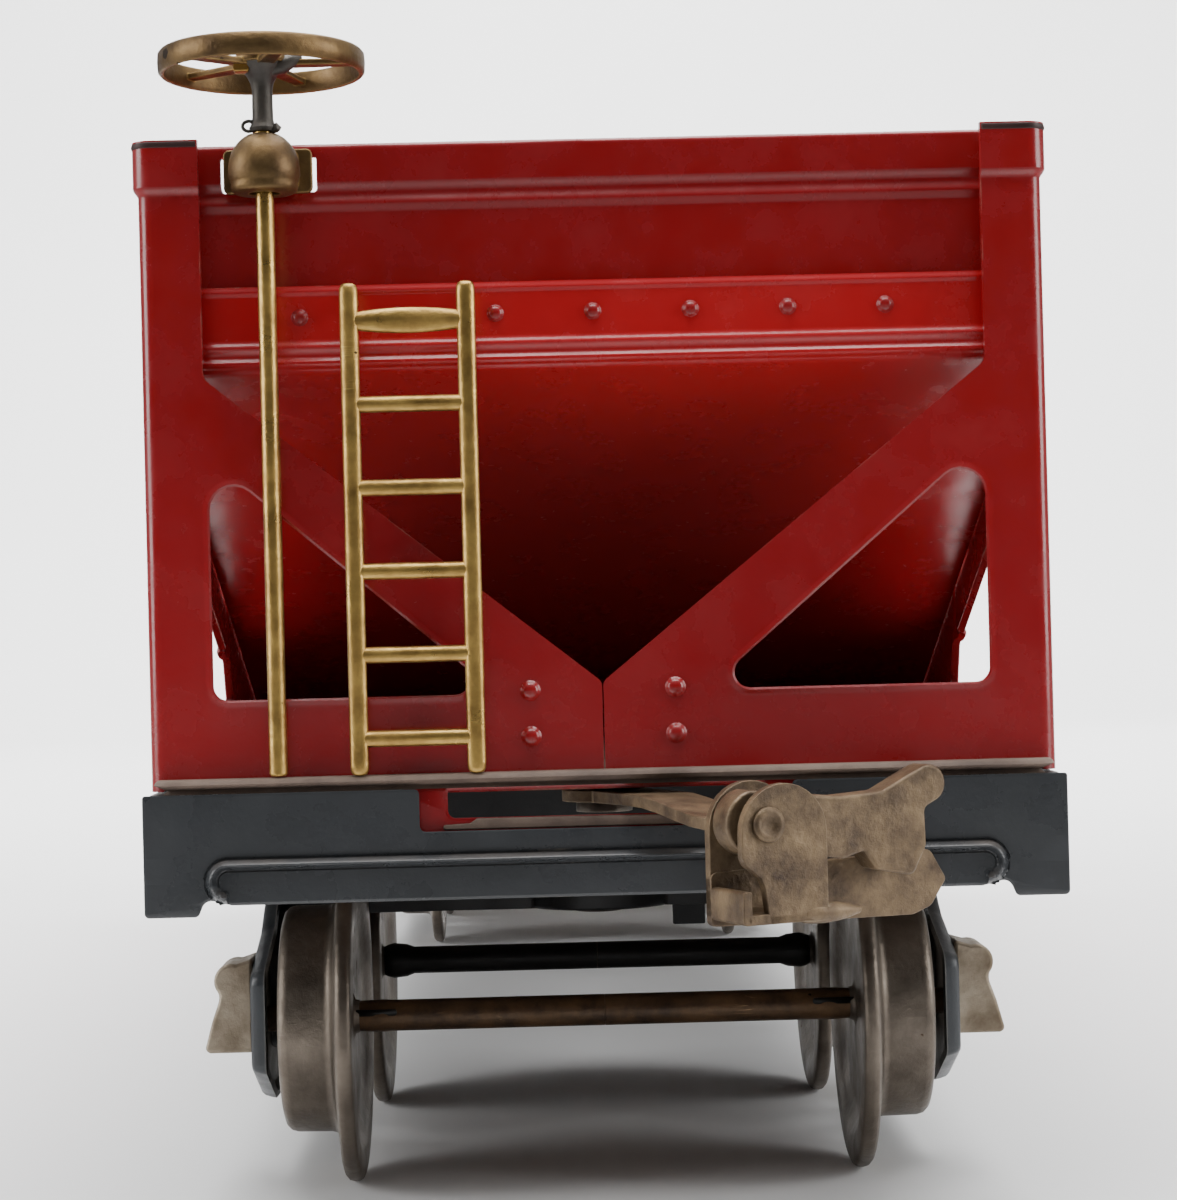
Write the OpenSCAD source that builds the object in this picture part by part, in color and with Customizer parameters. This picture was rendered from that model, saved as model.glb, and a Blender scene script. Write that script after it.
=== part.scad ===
// Pressed-sheet toy railway hopper wagon on two four-wheel trucks.
// Frame: X across, Y along, Z up. The origin is on the floor under the middle.
// "near" is the -Y end, which carries the hand brake, and "far" is the +Y end.

/* [Wagon] */
// Length over the faces of the end beams
frame_l = 292; // [280:1:360]
// Width over the hopper's side sheets
body_w = 75; // [74:1:92]
// Height of the hopper's rim
rim_z = 92; // [88:1:112]
// Height of the deck's top face
deck_z = 39.3; // [39:0.1:42]
// Distance between the truck centres
truck_spacing = 186; // [180:1:196]

/* [Sheet metal] */
// Thickness of the hopper's sheets
sheet = 0.8; // [0.6:0.1:1.0]
// Thickness of the frame's plates
plate = 1.0; // [0.8:0.1:1.2]
// Thickness of the deck
deck_t = 1.2; // [1.0:0.1:1.5]
// Height of the pressed rim band
rim_h = 4.3; // [3:0.1:5]
// How far the rim band and the ribs stand out
rim_out = 0.5; // [0.2:0.1:0.8]
// Number of pressed ribs on each side
rib_count = 7; // [3:2:9]

/* [Hopper] */
// Setback of an end wall behind the corner posts
end_inset = 3; // [2.5:0.1:4]
// Width of a corner post
post_w = 6; // [4:0.5:7]
// Height at which a slope sheet leaves its end wall
slope_top_z = 73.3; // [70:0.1:76]
// Height of the lap that a slope sheet turns up over its end wall
lap_h = 6.6; // [6:0.1:8]
// Distance of a slope sheet's foot from the middle
slope_foot_y = 58; // [56:1:60]
// Height of the V between the end gussets
gusset_z = 46.5; // [45:0.1:50]
// Height of the middle ridge above the deck
ridge_h = 15; // [10:1:18]
// Height of the chutes' mouths
mouth_z = 22; // [21:0.5:24]
// Length of a chute's mouth
mouth_l = 12; // [10:1:14]

/* [Frame] */
// Height of the end beams and the side sills
beam_h = 10; // [9:0.1:10.5]
// Height of the bead along an end beam
bead_h = 3.9; // [3:0.1:5]
// Width of the slot that a coupler swings in
slot_w = 26; // [24:1:28]
// Height of that slot
slot_h = 2.5; // [2.2:0.1:3]
// Radius of a kingpin
kingpin_r = 1.5; // [1:0.05:2]

/* [Trucks] */
// Radius of a wheel's flange
flange_r = 15.1; // [13:0.1:18.2]
// Radius of a wheel's tread
tread_r = 10.5; // [9:0.1:12]
// Distance between the inner faces of a pair's flanges
back_to_back = 45.2; // [44:0.1:46]
// Width of a wheel
wheel_w = 7.1; // [6:0.1:7.4]
// Radius of an axle
axle_r = 1.2; // [0.9:0.05:1.5]
// Width of a truck's bolster
bolster_w = 9; // [8:0.5:10]
// Width over the outer faces of a truck's side frames
side_frame_w = 65; // [64.4:0.1:67]

/* [Couplers] */
// Radius of the rivet that a coupler swings on
coupler_rivet_r = 1.2; // [0.8:0.05:1.5]
// Radius of the pin that a latch turns on
latch_pin_r = 0.9; // [0.6:0.05:1.1]
// Angle that a coupler rests at, away from the middle line
coupler_rest = 25; // [0:1:30]

/* [Brake and ladders] */
// Radius of the brake wheel
brake_r = 8.5; // [7:0.1:9.5]
// Radius of the brake staff
staff_r = 0.75; // [0.6:0.05:0.85]
// Number of rungs on a ladder
rung_count = 6; // [4:1:8]
// Distance between the middles of a ladder's rails
ladder_w = 9.6; // [8:0.1:11]

/* [Fits] */
// Radial clearance between a pin and the part that turns on it
run = 0.06; // [0.03:0.01:0.09]
// Gap between the faces of parts that move past each other
gap = 0.3; // [0.2:0.05:0.5]

/* [Hidden] */
$fn = 64;
eps = 0.01;
half_w = body_w / 2;
beam_y = frame_l / 2;
bead_out = 0.8;
beam_face_y = beam_y - bead_out;
beam_half_w = half_w + 0.45;
deck_under = deck_z - deck_t;
beam_low = deck_under - beam_h;
sill_out = half_w + 0.1;
sill_in = sill_out - plate;
slot_plate_y = beam_face_y - plate;
end_y = beam_y - 2.5;
wall_y = end_y - end_inset;
lap_y = wall_y + sheet;
slope_run = wall_y - slope_foot_y;
slope_rise = slope_top_z - deck_z;
slope_len = norm([slope_run, slope_rise]);
// Rise over run of a slope sheet, and the vertical depth of its sheet
slope_grade = slope_rise / slope_run;
slope_skin = sheet * slope_len / slope_run;
truck_y = truck_spacing / 2;

// Triangular hole and V in each end gusset
hole_out_x = half_w - post_w;
hole_in_x = hole_out_x * 0.3;
hole_low_z = deck_z + 7;
v_out_x = half_w - post_w + 0.8;
v_top_z = slope_top_z - 1;
seam = 0.1;
brace_w = 5.2;

// Chutes and their doors
ridge_half = 8;
chute_w = 2 * (sill_in - 2);
mouth_in_y = 22;
mouth_out_y = mouth_in_y + mouth_l;
hinge_y = mouth_in_y - 2.8;
hinge_z = mouth_z - 1.2;
hinge_rod_r = 0.8;
knuckle_r = 1.5;
lug_r = 2.4;
door_t = 0.8;
door_w = chute_w - 2 * sheet - 2 * gap;
door_tab = [4, 0.8, 7];
door_tab_x = 12;

// Trucks: everything is placed from the axle's height
axle_z = flange_r;
wheel_gap = 0.9;
wheelbase = 2 * flange_r + bolster_w + 2 * wheel_gap;
side_out = side_frame_w / 2;
side_in = side_out - plate;
side_flange = 1.2;
bolster_low = axle_z + 7.9;
bolster_t = 3;
boss_r = 8;
boss_top = axle_z + 15;
body_bolster_low = boss_top + 1.4;
body_bolster_w = 14;
body_pad_low = boss_top + 0.1;
sleeve_r = axle_r + 0.25;
hub_r = axle_r + 0.9;
hub_out = 0.5;
axle_end = side_out + 1.2;
journal_out = 4.6;
journal_l = 6;

// Couplers, in their own frame: u runs out along the coupler, v to its right
coupler_pivot_y = beam_y - 9;
shank_t = 1;
shank_z = deck_under - slot_h + 0.7;
shank_w = 5;
eye_r = 3.6;
head_u = 21;
head_t = 0.8;
head_l = 6;
head_low = deck_under - 10;
head_top = deck_under + 0.7;
cheek_left = -1.7;
cheek_right = 5.8;
hook_tip = 19.9;
latch_v = 0.6;
latch_z = head_top - 3.1;
latch_t = 2.6;
latch_u = head_u + head_t + (head_l - 2 * head_t - latch_t) / 2;

// Ladder and brake
ladder_x = -15.3 * body_w / 75;
ladder_y = end_y + 1.4;
ladder_top = slope_top_z + 6.4;
rail_w = 1.4;
rail_t = 1.1;
rung_r = 0.6;
rung_low = 3;
rung_pitch = (ladder_top - 3.3 - deck_z - rung_low) / (rung_count - 1);
staff_x = -26.8;
staff_y = end_y + 0.1 + staff_r;
bracket_r = staff_r + 2.15;
bracket_h = 4.8;
bracket_front = staff_y + staff_r + 0.8;
brake_z = rim_z + 6;

red = "firebrick";
black = [0.22, 0.22, 0.23];
steel = "silver";
nickel = "lightgray";
tarnish = [0.48, 0.42, 0.32];
brass = [0.65, 0.55, 0.25];

// ---- helpers ----

// Points on an arc about [x, y], from angle a to angle b
function arc(x, y, r, a, b, n = 6) =
  [for (i = [0 : n]) let (t = a + (b - a) * i / n) [x + r * cos(t), y + r * sin(t)]];

// Turns a part drawn at the near end to the far end
module at_end(far) {
  rotate([0, 0, far ? 180 : 0]) children();
}

// A flat shape drawn in X and Z, given depth along +Y from y
module plate_xz(y, depth) {
  translate([0, y + depth, 0]) rotate([90, 0, 0]) linear_extrude(depth) children();
}

// A flat shape drawn in Y and Z, given depth along +X from x
module plate_yz(x, depth) {
  translate([x, 0, 0]) rotate([90, 0, 90]) linear_extrude(depth) children();
}

// A cylinder along X from x
module rod_x(x, y, z, r, length) {
  translate([x, y, z]) rotate([0, 90, 0]) cylinder(r = r, h = length);
}

// A cylinder along -Y from y, for rivets and pins on the near end
module rod_out(x, y, z, r, length) {
  translate([x, y, z]) rotate([90, 0, 0]) cylinder(r = r, h = length);
}

// ---- frame ----

module frame_deck() {
  color(black) {
    difference() {
      translate([-half_w + 0.4, -beam_face_y, deck_under])
        cube([body_w - 0.8, 2 * beam_face_y, deck_t]);
      for (far = [false, true])
        at_end(far) translate([-chute_w / 2, -slope_foot_y, deck_under - eps])
          cube([chute_w, slope_foot_y - ridge_half, deck_t + 2 * eps]);
    }
    for (side = [-1, 1]) side_sill(side);
  }
}

module side_sill(side) {
  sill_l = 2 * (beam_face_y - plate);
  translate([side > 0 ? sill_in : -sill_out, -sill_l / 2, beam_low + 0.5])
    cube([plate, sill_l, beam_h - 0.5 + eps]);
  translate([side > 0 ? sill_in - 1 : -sill_out, -sill_l / 2, deck_under - 0.5])
    cube([plate + 1, sill_l, 0.5 + eps]);
}

module end_beam(far) {
  notch_x = slot_w / 2 + 2.3;
  notch_z = 3.5;
  tab_w = 4.7;
  tab_h = 0.9;
  bead_x = half_w - 4.5 - bead_h / 2;
  bead_z = beam_low + tab_h + bead_h / 2;
  at_end(far) color(black) {
    plate_xz(-beam_face_y, plate)
      polygon([
        [-beam_half_w, beam_low], [-beam_half_w + tab_w, beam_low],
        [-beam_half_w + tab_w, beam_low + tab_h], [beam_half_w - tab_w, beam_low + tab_h],
        [beam_half_w - tab_w, beam_low], [beam_half_w, beam_low],
        [beam_half_w, deck_under], [notch_x, deck_under], [notch_x, deck_under - notch_z],
        [-notch_x, deck_under - notch_z], [-notch_x, deck_under], [-beam_half_w, deck_under]
      ]);
    intersection() {
      union() {
        rod_x(-bead_x, -beam_face_y + bead_h / 2 - bead_out, bead_z, bead_h / 2, 2 * bead_x);
        for (x = [-bead_x, bead_x])
          translate([x, -beam_face_y + bead_h / 2 - bead_out, bead_z]) sphere(r = bead_h / 2);
      }
      translate([-half_w, -beam_y - 1, beam_low]) cube([body_w, 1 + bead_out + plate / 2, beam_h]);
    }
  }
}

module slot_plate(far) {
  slot_plate_x = slot_w / 2 + 4;
  at_end(far) color(red)
    difference() {
      translate([-slot_plate_x, -slot_plate_y, beam_low + 2])
        cube([2 * slot_plate_x, sheet, beam_h - 2]);
      translate([-slot_w / 2, -slot_plate_y - 1, deck_under - slot_h])
        cube([slot_w, sheet + 2, slot_h - 0.2]);
    }
}

module body_bolster(far) {
  at_end(far) color(black)
    difference() {
      union() {
        translate([-sill_in + 1, -truck_y - body_bolster_w / 2, body_bolster_low])
          cube([2 * sill_in - 2, body_bolster_w, deck_under - 0.5 - body_bolster_low]);
        translate([-boss_r, -truck_y - body_bolster_w / 2, deck_under - 0.5 - eps])
          cube([2 * boss_r, body_bolster_w, 0.5 + eps]);
        translate([0, -truck_y, body_pad_low])
          cylinder(r = boss_r - 1.5, h = body_bolster_low - body_pad_low + eps);
      }
      for (side = [0, 1])
        mirror([side, 0, 0])
          translate([boss_r - 2, -truck_y - body_bolster_w / 2 + plate, body_bolster_low + plate])
            cube([sill_in, body_bolster_w - 2 * plate, deck_under]);
      translate([0, -truck_y, body_pad_low - 1]) cylinder(r = kingpin_r, h = beam_h * 2);
    }
}

module kingpin(far) {
  head_h = 0.6;
  head_z = bolster_low - 0.1 - head_h;
  at_end(far) color(steel) {
    translate([0, -truck_y, head_z]) cylinder(r = kingpin_r, h = deck_under - head_z);
    translate([0, -truck_y, head_z]) cylinder(r1 = kingpin_r + 1, r2 = kingpin_r + 1.5, h = head_h);
  }
}

module coupler_rivet(far) {
  washer_r = coupler_rivet_r + 1.2;
  rivet_head_h = 0.8;
  at_end(far) color(steel) translate([0, -coupler_pivot_y, 0]) {
    translate([0, 0, shank_z - 0.1 - rivet_head_h])
      cylinder(r = coupler_rivet_r, h = deck_under - shank_z + 0.1 + rivet_head_h);
    translate([0, 0, shank_z - 0.1 - rivet_head_h]) cylinder(r = washer_r, h = rivet_head_h);
    translate([0, 0, shank_z + shank_t + 0.1]) cylinder(r = washer_r, h = deck_under - shank_z - shank_t - 0.1);
  }
}

// ---- hopper ----

// Half of an end face, to the right of the middle seam
module gusset_outline() {
  difference() {
    polygon([
      [seam / 2, deck_z], [half_w, deck_z], [half_w, rim_z], [v_out_x, rim_z],
      [v_out_x, v_top_z], [seam / 2, gusset_z]
    ]);
    gusset_hole();
  }
}

module gusset_hole() {
  top_r = 1.6;
  in_r = 1.2;
  out_r = 0.9;
  v_grade = (v_top_z - gusset_z) / v_out_x;
  hole_top_z = gusset_z + v_grade * hole_out_x - brace_w / cos(atan(v_grade)) - 1.8;
  hypotenuse = atan((hole_top_z - hole_low_z) / (hole_out_x - hole_in_x)) + 6;
  polygon(concat(
    arc(hole_out_x - out_r, hole_low_z + out_r, out_r, -90, 0),
    arc(hole_out_x - top_r, hole_top_z - top_r, top_r, 0, 90 + hypotenuse),
    arc(hole_in_x + in_r, hole_low_z + in_r, in_r, 90 + hypotenuse, 270)
  ));
}

// Side sheet with an opening under each slope sheet
module side_outline() {
  open_low_z = deck_z + 4.7;
  open_out_y = end_y - post_w - 0.5;
  open_in_y = end_y - 52;
  under = 5;
  slope_out_z = slope_top_z - (wall_y - open_out_y) * slope_grade - under;
  slope_in_z = slope_top_z - (wall_y - open_in_y) * slope_grade - under;
  difference() {
    translate([-end_y, deck_z]) square([2 * end_y, rim_z - deck_z]);
    for (side = [-1, 1])
      polygon([
        [side * open_out_y, open_low_z], [side * open_out_y, slope_out_z],
        [side * open_in_y, max(slope_in_z, open_low_z + 1)], [side * open_in_y, open_low_z]
      ]);
  }
}

module body_side(left) {
  mirror([left ? 1 : 0, 0, 0]) color(red) {
    plate_yz(half_w - sheet, sheet) side_outline();
    plate_xz(-end_y, sheet) gusset_outline();
    // The far end's half face sits on the same side of the wagon
    plate_xz(end_y - sheet, sheet) gusset_outline();
    rim_band();
    side_ribs();
  }
}

module rim_band() {
  band_y = end_y + 0.3;
  difference() {
    translate([v_out_x, -band_y, rim_z - rim_h]) cube([half_w + rim_out - v_out_x, 2 * band_y, rim_h]);
    translate([0, -end_y + sheet / 2, rim_z - rim_h - 1])
      cube([half_w - sheet / 2, 2 * end_y - sheet, rim_h + 2]);
  }
}

module side_ribs() {
  rib_r = 1.2;
  rib_span = 2 * (end_y - 50);
  for (i = [0 : rib_count - 1])
    intersection() {
      translate([half_w + rim_out - rib_r, -rib_span / 2 + i * rib_span / (rib_count - 1), deck_z + 1])
        cylinder(r = rib_r, h = rim_z - rim_h - deck_z - 2);
      translate([half_w - sheet / 2, -end_y, deck_z]) cube([2, 2 * end_y, rim_z - deck_z]);
    }
}

// The hopper's sheets fit between the side sheets' inner faces
inner_half = half_w - sheet;

module end_wall(far) {
  ridge_r = 0.9;
  hole_w = 8;
  at_end(far) color(red)
    difference() {
      union() {
        translate([-inner_half, -wall_y, slope_top_z + 1])
          cube([2 * inner_half, sheet, rim_z - slope_top_z - 1]);
        intersection() {
          rod_x(-inner_half, -wall_y + ridge_r - 0.35, rim_z - 3.7, ridge_r, 2 * inner_half);
          translate([-half_w, -wall_y - 1, 0]) cube([body_w, 1 + sheet / 2, rim_z]);
        }
      }
      if (!far)
        translate([staff_x - hole_w / 2, -wall_y - 1, rim_z - 4]) cube([hole_w, sheet + 2, 3]);
    }
}

module slope_sheet(far) {
  lap_top = slope_top_z + lap_h;
  at_end(far) color(red)
    plate_yz(-inner_half, 2 * inner_half)
      polygon([
        [-lap_y, lap_top], [-lap_y, slope_top_z - slope_skin], [-slope_foot_y, deck_z],
        [-slope_foot_y, deck_z + slope_skin], [-wall_y + sheet, slope_top_z + 0.4],
        [-wall_y + sheet, slope_top_z + 0.9], [-wall_y, slope_top_z + 0.9], [-wall_y, lap_top]
      ]);
}

module hopper_ridge() {
  color(red)
    plate_yz(-inner_half, 2 * inner_half)
      polygon([
        [-ridge_half, deck_z], [0, deck_z + ridge_h], [ridge_half, deck_z],
        [ridge_half - 1.2, deck_z], [0, deck_z + ridge_h - 2], [-ridge_half + 1.2, deck_z]
      ]);
}

module chute(far) {
  wall_x = chute_w / 2;
  at_end(far) color(black)
    difference() {
      union() {
        for (x = [-wall_x, wall_x - sheet])
          plate_yz(x, sheet)
            polygon([
              [-slope_foot_y, deck_z], [-mouth_out_y, mouth_z],
              [-mouth_in_y, mouth_z], [-ridge_half, deck_z]
            ]);
        for (x = [-wall_x, wall_x - sheet]) chute_lug(x);
        plate_yz(-wall_x, chute_w)
          polygon([
            [-slope_foot_y, deck_z], [-mouth_out_y, mouth_z],
            [-mouth_out_y + 1, mouth_z], [-slope_foot_y + 1.6, deck_z]
          ]);
        plate_yz(-wall_x, chute_w)
          polygon([
            [-ridge_half, deck_z], [-mouth_in_y, mouth_z],
            [-mouth_in_y - 1, mouth_z], [-ridge_half - 1.4, deck_z]
          ]);
      }
      rod_x(-wall_x - 1, -hinge_y, hinge_z, hinge_rod_r + run, chute_w + 2);
    }
}

module chute_lug(x) {
  plate_yz(x, sheet) translate([-hinge_y, hinge_z]) circle(r = lug_r);
  plate_yz(x, sheet)
    polygon([
      [-hinge_y - 1, hinge_z], [-hinge_y, hinge_z + lug_r + 3],
      [-mouth_in_y - 1, mouth_z + 1], [-mouth_in_y, mouth_z - 1]
    ]);
}

module chute_door(far) {
  top_z = mouth_z - gap;
  at_end(far) color(black)
    difference() {
      union() {
        translate([-door_w / 2, -mouth_out_y - 0.6, top_z - door_t])
          cube([door_w, mouth_out_y + 0.6 - hinge_y, door_t]);
        rod_x(-door_w / 2, -hinge_y, hinge_z, knuckle_r, door_w);
        translate([door_tab_x - door_tab.x / 2, -mouth_out_y - 0.6, top_z - door_t - door_tab.z])
          cube([door_tab.x, door_tab.y, door_tab.z + eps]);
      }
      rod_x(-door_w / 2 - 1, -hinge_y, hinge_z, hinge_rod_r, door_w + 2);
    }
}

module door_rod(far) {
  rod_l = chute_w + 1.6;
  at_end(far) color(steel) rod_x(-rod_l / 2, -hinge_y, hinge_z, hinge_rod_r, rod_l);
}

// Rivets: a row along the slope sheet's lap and four in the gussets
module rivets(far) {
  lap_rivets = 7;
  lap_pitch = 8.15 * body_w / 75;
  gusset_x = 6;
  at_end(far) color(red) {
    for (i = [0 : lap_rivets - 1])
      rivet_head((i - (lap_rivets - 1) / 2) * lap_pitch, -lap_y, slope_top_z + 4.1, 0.75);
    for (x = [-gusset_x, gusset_x], z = [gusset_z - 0.6, gusset_z - 4.4])
      rivet_head(x, -end_y, z, 0.7);
  }
}

module rivet_head(x, y, z, r) {
  translate([x, y, z])
    rotate([90, 0, 0])
      rotate_extrude($fn = 32)
        polygon(concat([[0, 0]], arc(0, 0, r, 0, 90, 4)));
}

module ladder(far) {
  at_end(far) color(brass) {
    for (side = [-1, 1])
      translate([ladder_x + side * ladder_w / 2, -ladder_y, 0]) {
        translate([-rail_w / 2, -rail_t / 2, deck_z]) cube([rail_w, rail_t, ladder_top - deck_z - rail_w / 2]);
        translate([0, rail_t / 2, ladder_top - rail_w / 2])
          rotate([90, 0, 0]) cylinder(r = rail_w / 2, h = rail_t);
        // Standoff to the slope sheet's lap
        translate([0, ladder_y - lap_y, ladder_top - 1.2])
          rotate([90, 0, 0]) cylinder(r = rung_r, h = ladder_y - lap_y);
      }
    for (i = [0 : rung_count - 1])
      rod_x(ladder_x - ladder_w / 2, -ladder_y, deck_z + rung_low + i * rung_pitch,
            i == rung_count - 1 ? 0.9 * rail_t / 2 + 0.1 : rung_r * 0.9, ladder_w);
  }
}

// ---- hand brake ----

module brake_bracket() {
  bracket_z = rim_z - bracket_h;
  arch_y = bracket_front - bracket_r;
  stand = 0.4;
  back_y = wall_y + stand;
  back_plate = [7.5, 0.6, 3.7];
  foot = [4, stand + sheet, 2.8];
  color(tarnish)
    difference() {
      union() {
        intersection() {
          translate([staff_x, -arch_y, bracket_z]) cylinder(r = bracket_r, h = bracket_h);
          translate([staff_x - bracket_r, -bracket_front, bracket_z])
            cube([2 * bracket_r, bracket_r, bracket_h]);
        }
        translate([staff_x - bracket_r, -arch_y, bracket_z])
          cube([2 * bracket_r, arch_y - back_y, bracket_h]);
        translate([staff_x - back_plate.x / 2, -back_y - back_plate.y, bracket_z + 0.4])
          cube(back_plate);
        translate([staff_x - foot.x / 2, -back_y, rim_z - 3.9]) cube(foot);
      }
      translate([staff_x, -staff_y, bracket_z - 1]) cylinder(r = staff_r + run, h = bracket_h + 2);
      translate([staff_x, -staff_y, bracket_z - 1]) cylinder(r = staff_r + 0.9, h = bracket_h);
    }
}

module brake_staff() {
  pawl_z = rim_z + 0.3;
  color(brass) {
    translate([staff_x, -staff_y, deck_z + 0.1]) cylinder(r = staff_r, h = brake_z - deck_z + 0.4);
    translate([staff_x, -staff_y, pawl_z]) cylinder(r = staff_r + 0.5, h = 0.7);
  }
}

module brake_wheel() {
  rim_t = 1.3;
  rim_band_h = 1.9;
  rim_band_t = 0.8;
  spokes = 5;
  color(tarnish)
    translate([staff_x, -staff_y, brake_z - rim_t / 2]) {
      rotate_extrude($fn = 96)
        translate([brake_r - rim_band_t, (rim_t - rim_band_h) / 2]) square([rim_band_t, rim_band_h]);
      difference() {
        union() {
          cylinder(r = 1.9, h = rim_t);
          for (i = [0 : spokes - 1])
            rotate([0, 0, i * 360 / spokes])
              translate([1, -0.6, 0.3]) cube([brake_r - 1 - rim_t / 2, 1.2, 0.7]);
        }
        translate([0, 0, -1]) cylinder(r = staff_r, h = rim_t + 2);
      }
    }
}

module brake_nut() {
  nut_h = 1;
  color(brass)
    translate([staff_x, -staff_y, brake_z + 0.65])
      difference() {
        cylinder(r = 1.3, h = nut_h, $fn = 6);
        translate([0, 0, -1]) cylinder(r = staff_r, h = nut_h + 0.8);
      }
}

// ---- trucks ----

// Side frame outline about the truck's middle, drawn in by i
module side_frame_outline(i) {
  half_l = wheelbase / 2 + 6.5;
  low = axle_z - 8.2;
  top = axle_z + 13;
  polygon([
    [-half_l + i, axle_z - 4 + i], [-wheelbase / 2 + 2 + i, axle_z - 7.8 + i], [-6 + i, low + i],
    [6 - i, low + i], [wheelbase / 2 - 2 - i, axle_z - 7.8 + i], [half_l - i, axle_z - 4 + i],
    [half_l - i, axle_z + 5 - i], [wheelbase / 2 - 4 - i, axle_z + 8 - i], [8 - i, top - i],
    [-8 + i, top - i], [-wheelbase / 2 + 4 + i, axle_z + 8 - i], [-half_l + i, axle_z + 5 - i]
  ]);
}

module side_frame(left, far) {
  window_y = 6.2;
  at_end(far) mirror([left ? 1 : 0, 0, 0]) color(black)
    translate([0, -truck_y, 0])
      difference() {
        plate_yz(side_in - side_flange, plate + side_flange) side_frame_outline(0);
        plate_yz(side_in - side_flange - eps, side_flange + eps) side_frame_outline(1);
        for (side = [-1, 1]) {
          plate_yz(side_in - 1, plate + 2)
            polygon([
              [side * window_y, axle_z - 4.2], [side * (wheelbase / 2 - 6), axle_z - 2.6],
              [side * (wheelbase / 2 - 6), axle_z + 4.6], [side * window_y, axle_z + 8.6]
            ]);
          rod_x(side_in - 2, side * wheelbase / 2, axle_z, axle_r + run, plate + 4);
        }
      }
}

module truck_bolster(far) {
  at_end(far) color(black)
    translate([0, -truck_y, 0])
      difference() {
        union() {
          translate([-side_in, -bolster_w / 2, bolster_low]) cube([2 * side_in, bolster_w, bolster_t]);
          translate([0, 0, bolster_low]) cylinder(r = boss_r, h = boss_top - bolster_low);
        }
        translate([0, 0, bolster_low - 1]) cylinder(r = kingpin_r + run, h = boss_top - bolster_low + 2);
      }
}

// Four journal boxes, each with a pocket for its axle's end
module journal_boxes(far) {
  at_end(far) color(nickel)
    translate([0, -truck_y, 0])
      for (left = [0, 1], end = [-1, 1])
        mirror([left, 0, 0]) translate([side_out, end * wheelbase / 2, axle_z]) journal_box();
}

module journal_box() {
  difference() {
    rotate([90, 0, 0])
      translate([0, 0, -journal_l / 2])
        linear_extrude(journal_l)
          polygon(concat(
            [[0, -2.7], [journal_out, -2.7], [journal_out, -2.1], [journal_out - 1.5, 2.3]],
            arc(journal_out - 2.6, 3.9, 1.7, -40, 100, 6),
            [[0, 6]]
          ));
    translate([-1, 0, 0]) rotate([0, 90, 0]) cylinder(r = axle_r + run, h = axle_end - side_out + 0.3 + 1);
  }
}

// ---- wheelsets, numbered from the near end ----

function axle_y(n) = (n <= 2 ? -truck_y : truck_y) + (n % 2 == 1 ? -1 : 1) * wheelbase / 2;

module wheel() {
  rotate([0, 90, 0])
    rotate_extrude($fn = 96)
      polygon([
        [axle_r, -hub_out], [hub_r, -hub_out], [hub_r + 0.4, 1.4], [tread_r - 0.4, 1.4],
        [tread_r + 1.2, 0], [flange_r - 0.5, 0], [flange_r, 0.5], [flange_r, 1],
        [flange_r - 0.5, 1.5], [tread_r + 0.4, 1.7], [tread_r - 0.1, 2.6], [tread_r, 3],
        [tread_r - 0.15, wheel_w - 0.8], [tread_r - 0.9, wheel_w], [tread_r - 1.8, wheel_w],
        [tread_r - 2.6, wheel_w - 1.8], [hub_r + 0.4, wheel_w - 1.8], [hub_r, wheel_w - 0.3],
        [axle_r, wheel_w - 0.3]
      ]);
}

module wheels(n) {
  color(steel)
    for (left = [0, 1])
      mirror([left, 0, 0]) translate([back_to_back / 2, axle_y(n), axle_z]) wheel();
}

module axle(n) {
  color(black) rod_x(-axle_end, axle_y(n), axle_z, axle_r, 2 * axle_end);
}

module axle_sleeve(n) {
  sleeve_half = back_to_back / 2 - hub_out;
  color(n % 2 == 1 ? tarnish : black)
    difference() {
      rod_x(-sleeve_half, axle_y(n), axle_z, sleeve_r, 2 * sleeve_half);
      rod_x(-sleeve_half - 1, axle_y(n), axle_z, axle_r, 2 * sleeve_half + 2);
    }
}

// ---- couplers ----

// Places a part drawn in the coupler's own frame, with u along -Y and v along X
module coupler_place(far) {
  at_end(far) translate([0, -coupler_pivot_y, 0]) rotate([0, 0, coupler_rest]) children();
}

// A flat shape drawn in v and z, given depth along +u from u
module coupler_plate(u, depth) {
  translate([0, -u, 0]) rotate([90, 0, 0]) linear_extrude(depth) children();
}

module cheek_outline(low_left) {
  top_r = (cheek_right - cheek_left) / 2;
  mid = (cheek_right + cheek_left) / 2;
  polygon(concat(
    [[low_left, head_low], [cheek_right, head_low]],
    arc(mid, head_top - top_r, top_r, 0, 180, 12),
    [[cheek_left, latch_z - 2.7], [low_left, latch_z - 4.1]]
  ));
}

module coupler_head(far) {
  front_u = head_u + head_l - head_t;
  coupler_place(far) color(tarnish)
    difference() {
      union() {
        coupler_plate(head_u, head_t) cheek_outline(cheek_left);
        coupler_plate(front_u, head_t) cheek_outline(cheek_left + 1.8);
        // Floor of the box, and the hook plate that runs out to the right
        translate([cheek_left, -head_u - head_l, head_low])
          cube([cheek_right - cheek_left, head_l, head_t]);
        translate([cheek_left, -head_u - head_l, head_low]) cube([head_t, head_l, 2.6]);
        coupler_plate(head_u, head_t)
          polygon([
            [cheek_left, head_low - 0.5], [hook_tip - 3.2, head_low - 0.8],
            [hook_tip - 1.5, head_low - 0.2], [hook_tip, head_low + 1.9],
            [hook_tip - 1.5, head_low + 4.4], [cheek_left, head_low + 3.7]
          ]);
      }
      coupler_plate(head_u - 1, head_l + 2) translate([latch_v, latch_z]) circle(r = latch_pin_r);
    }
}

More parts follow.
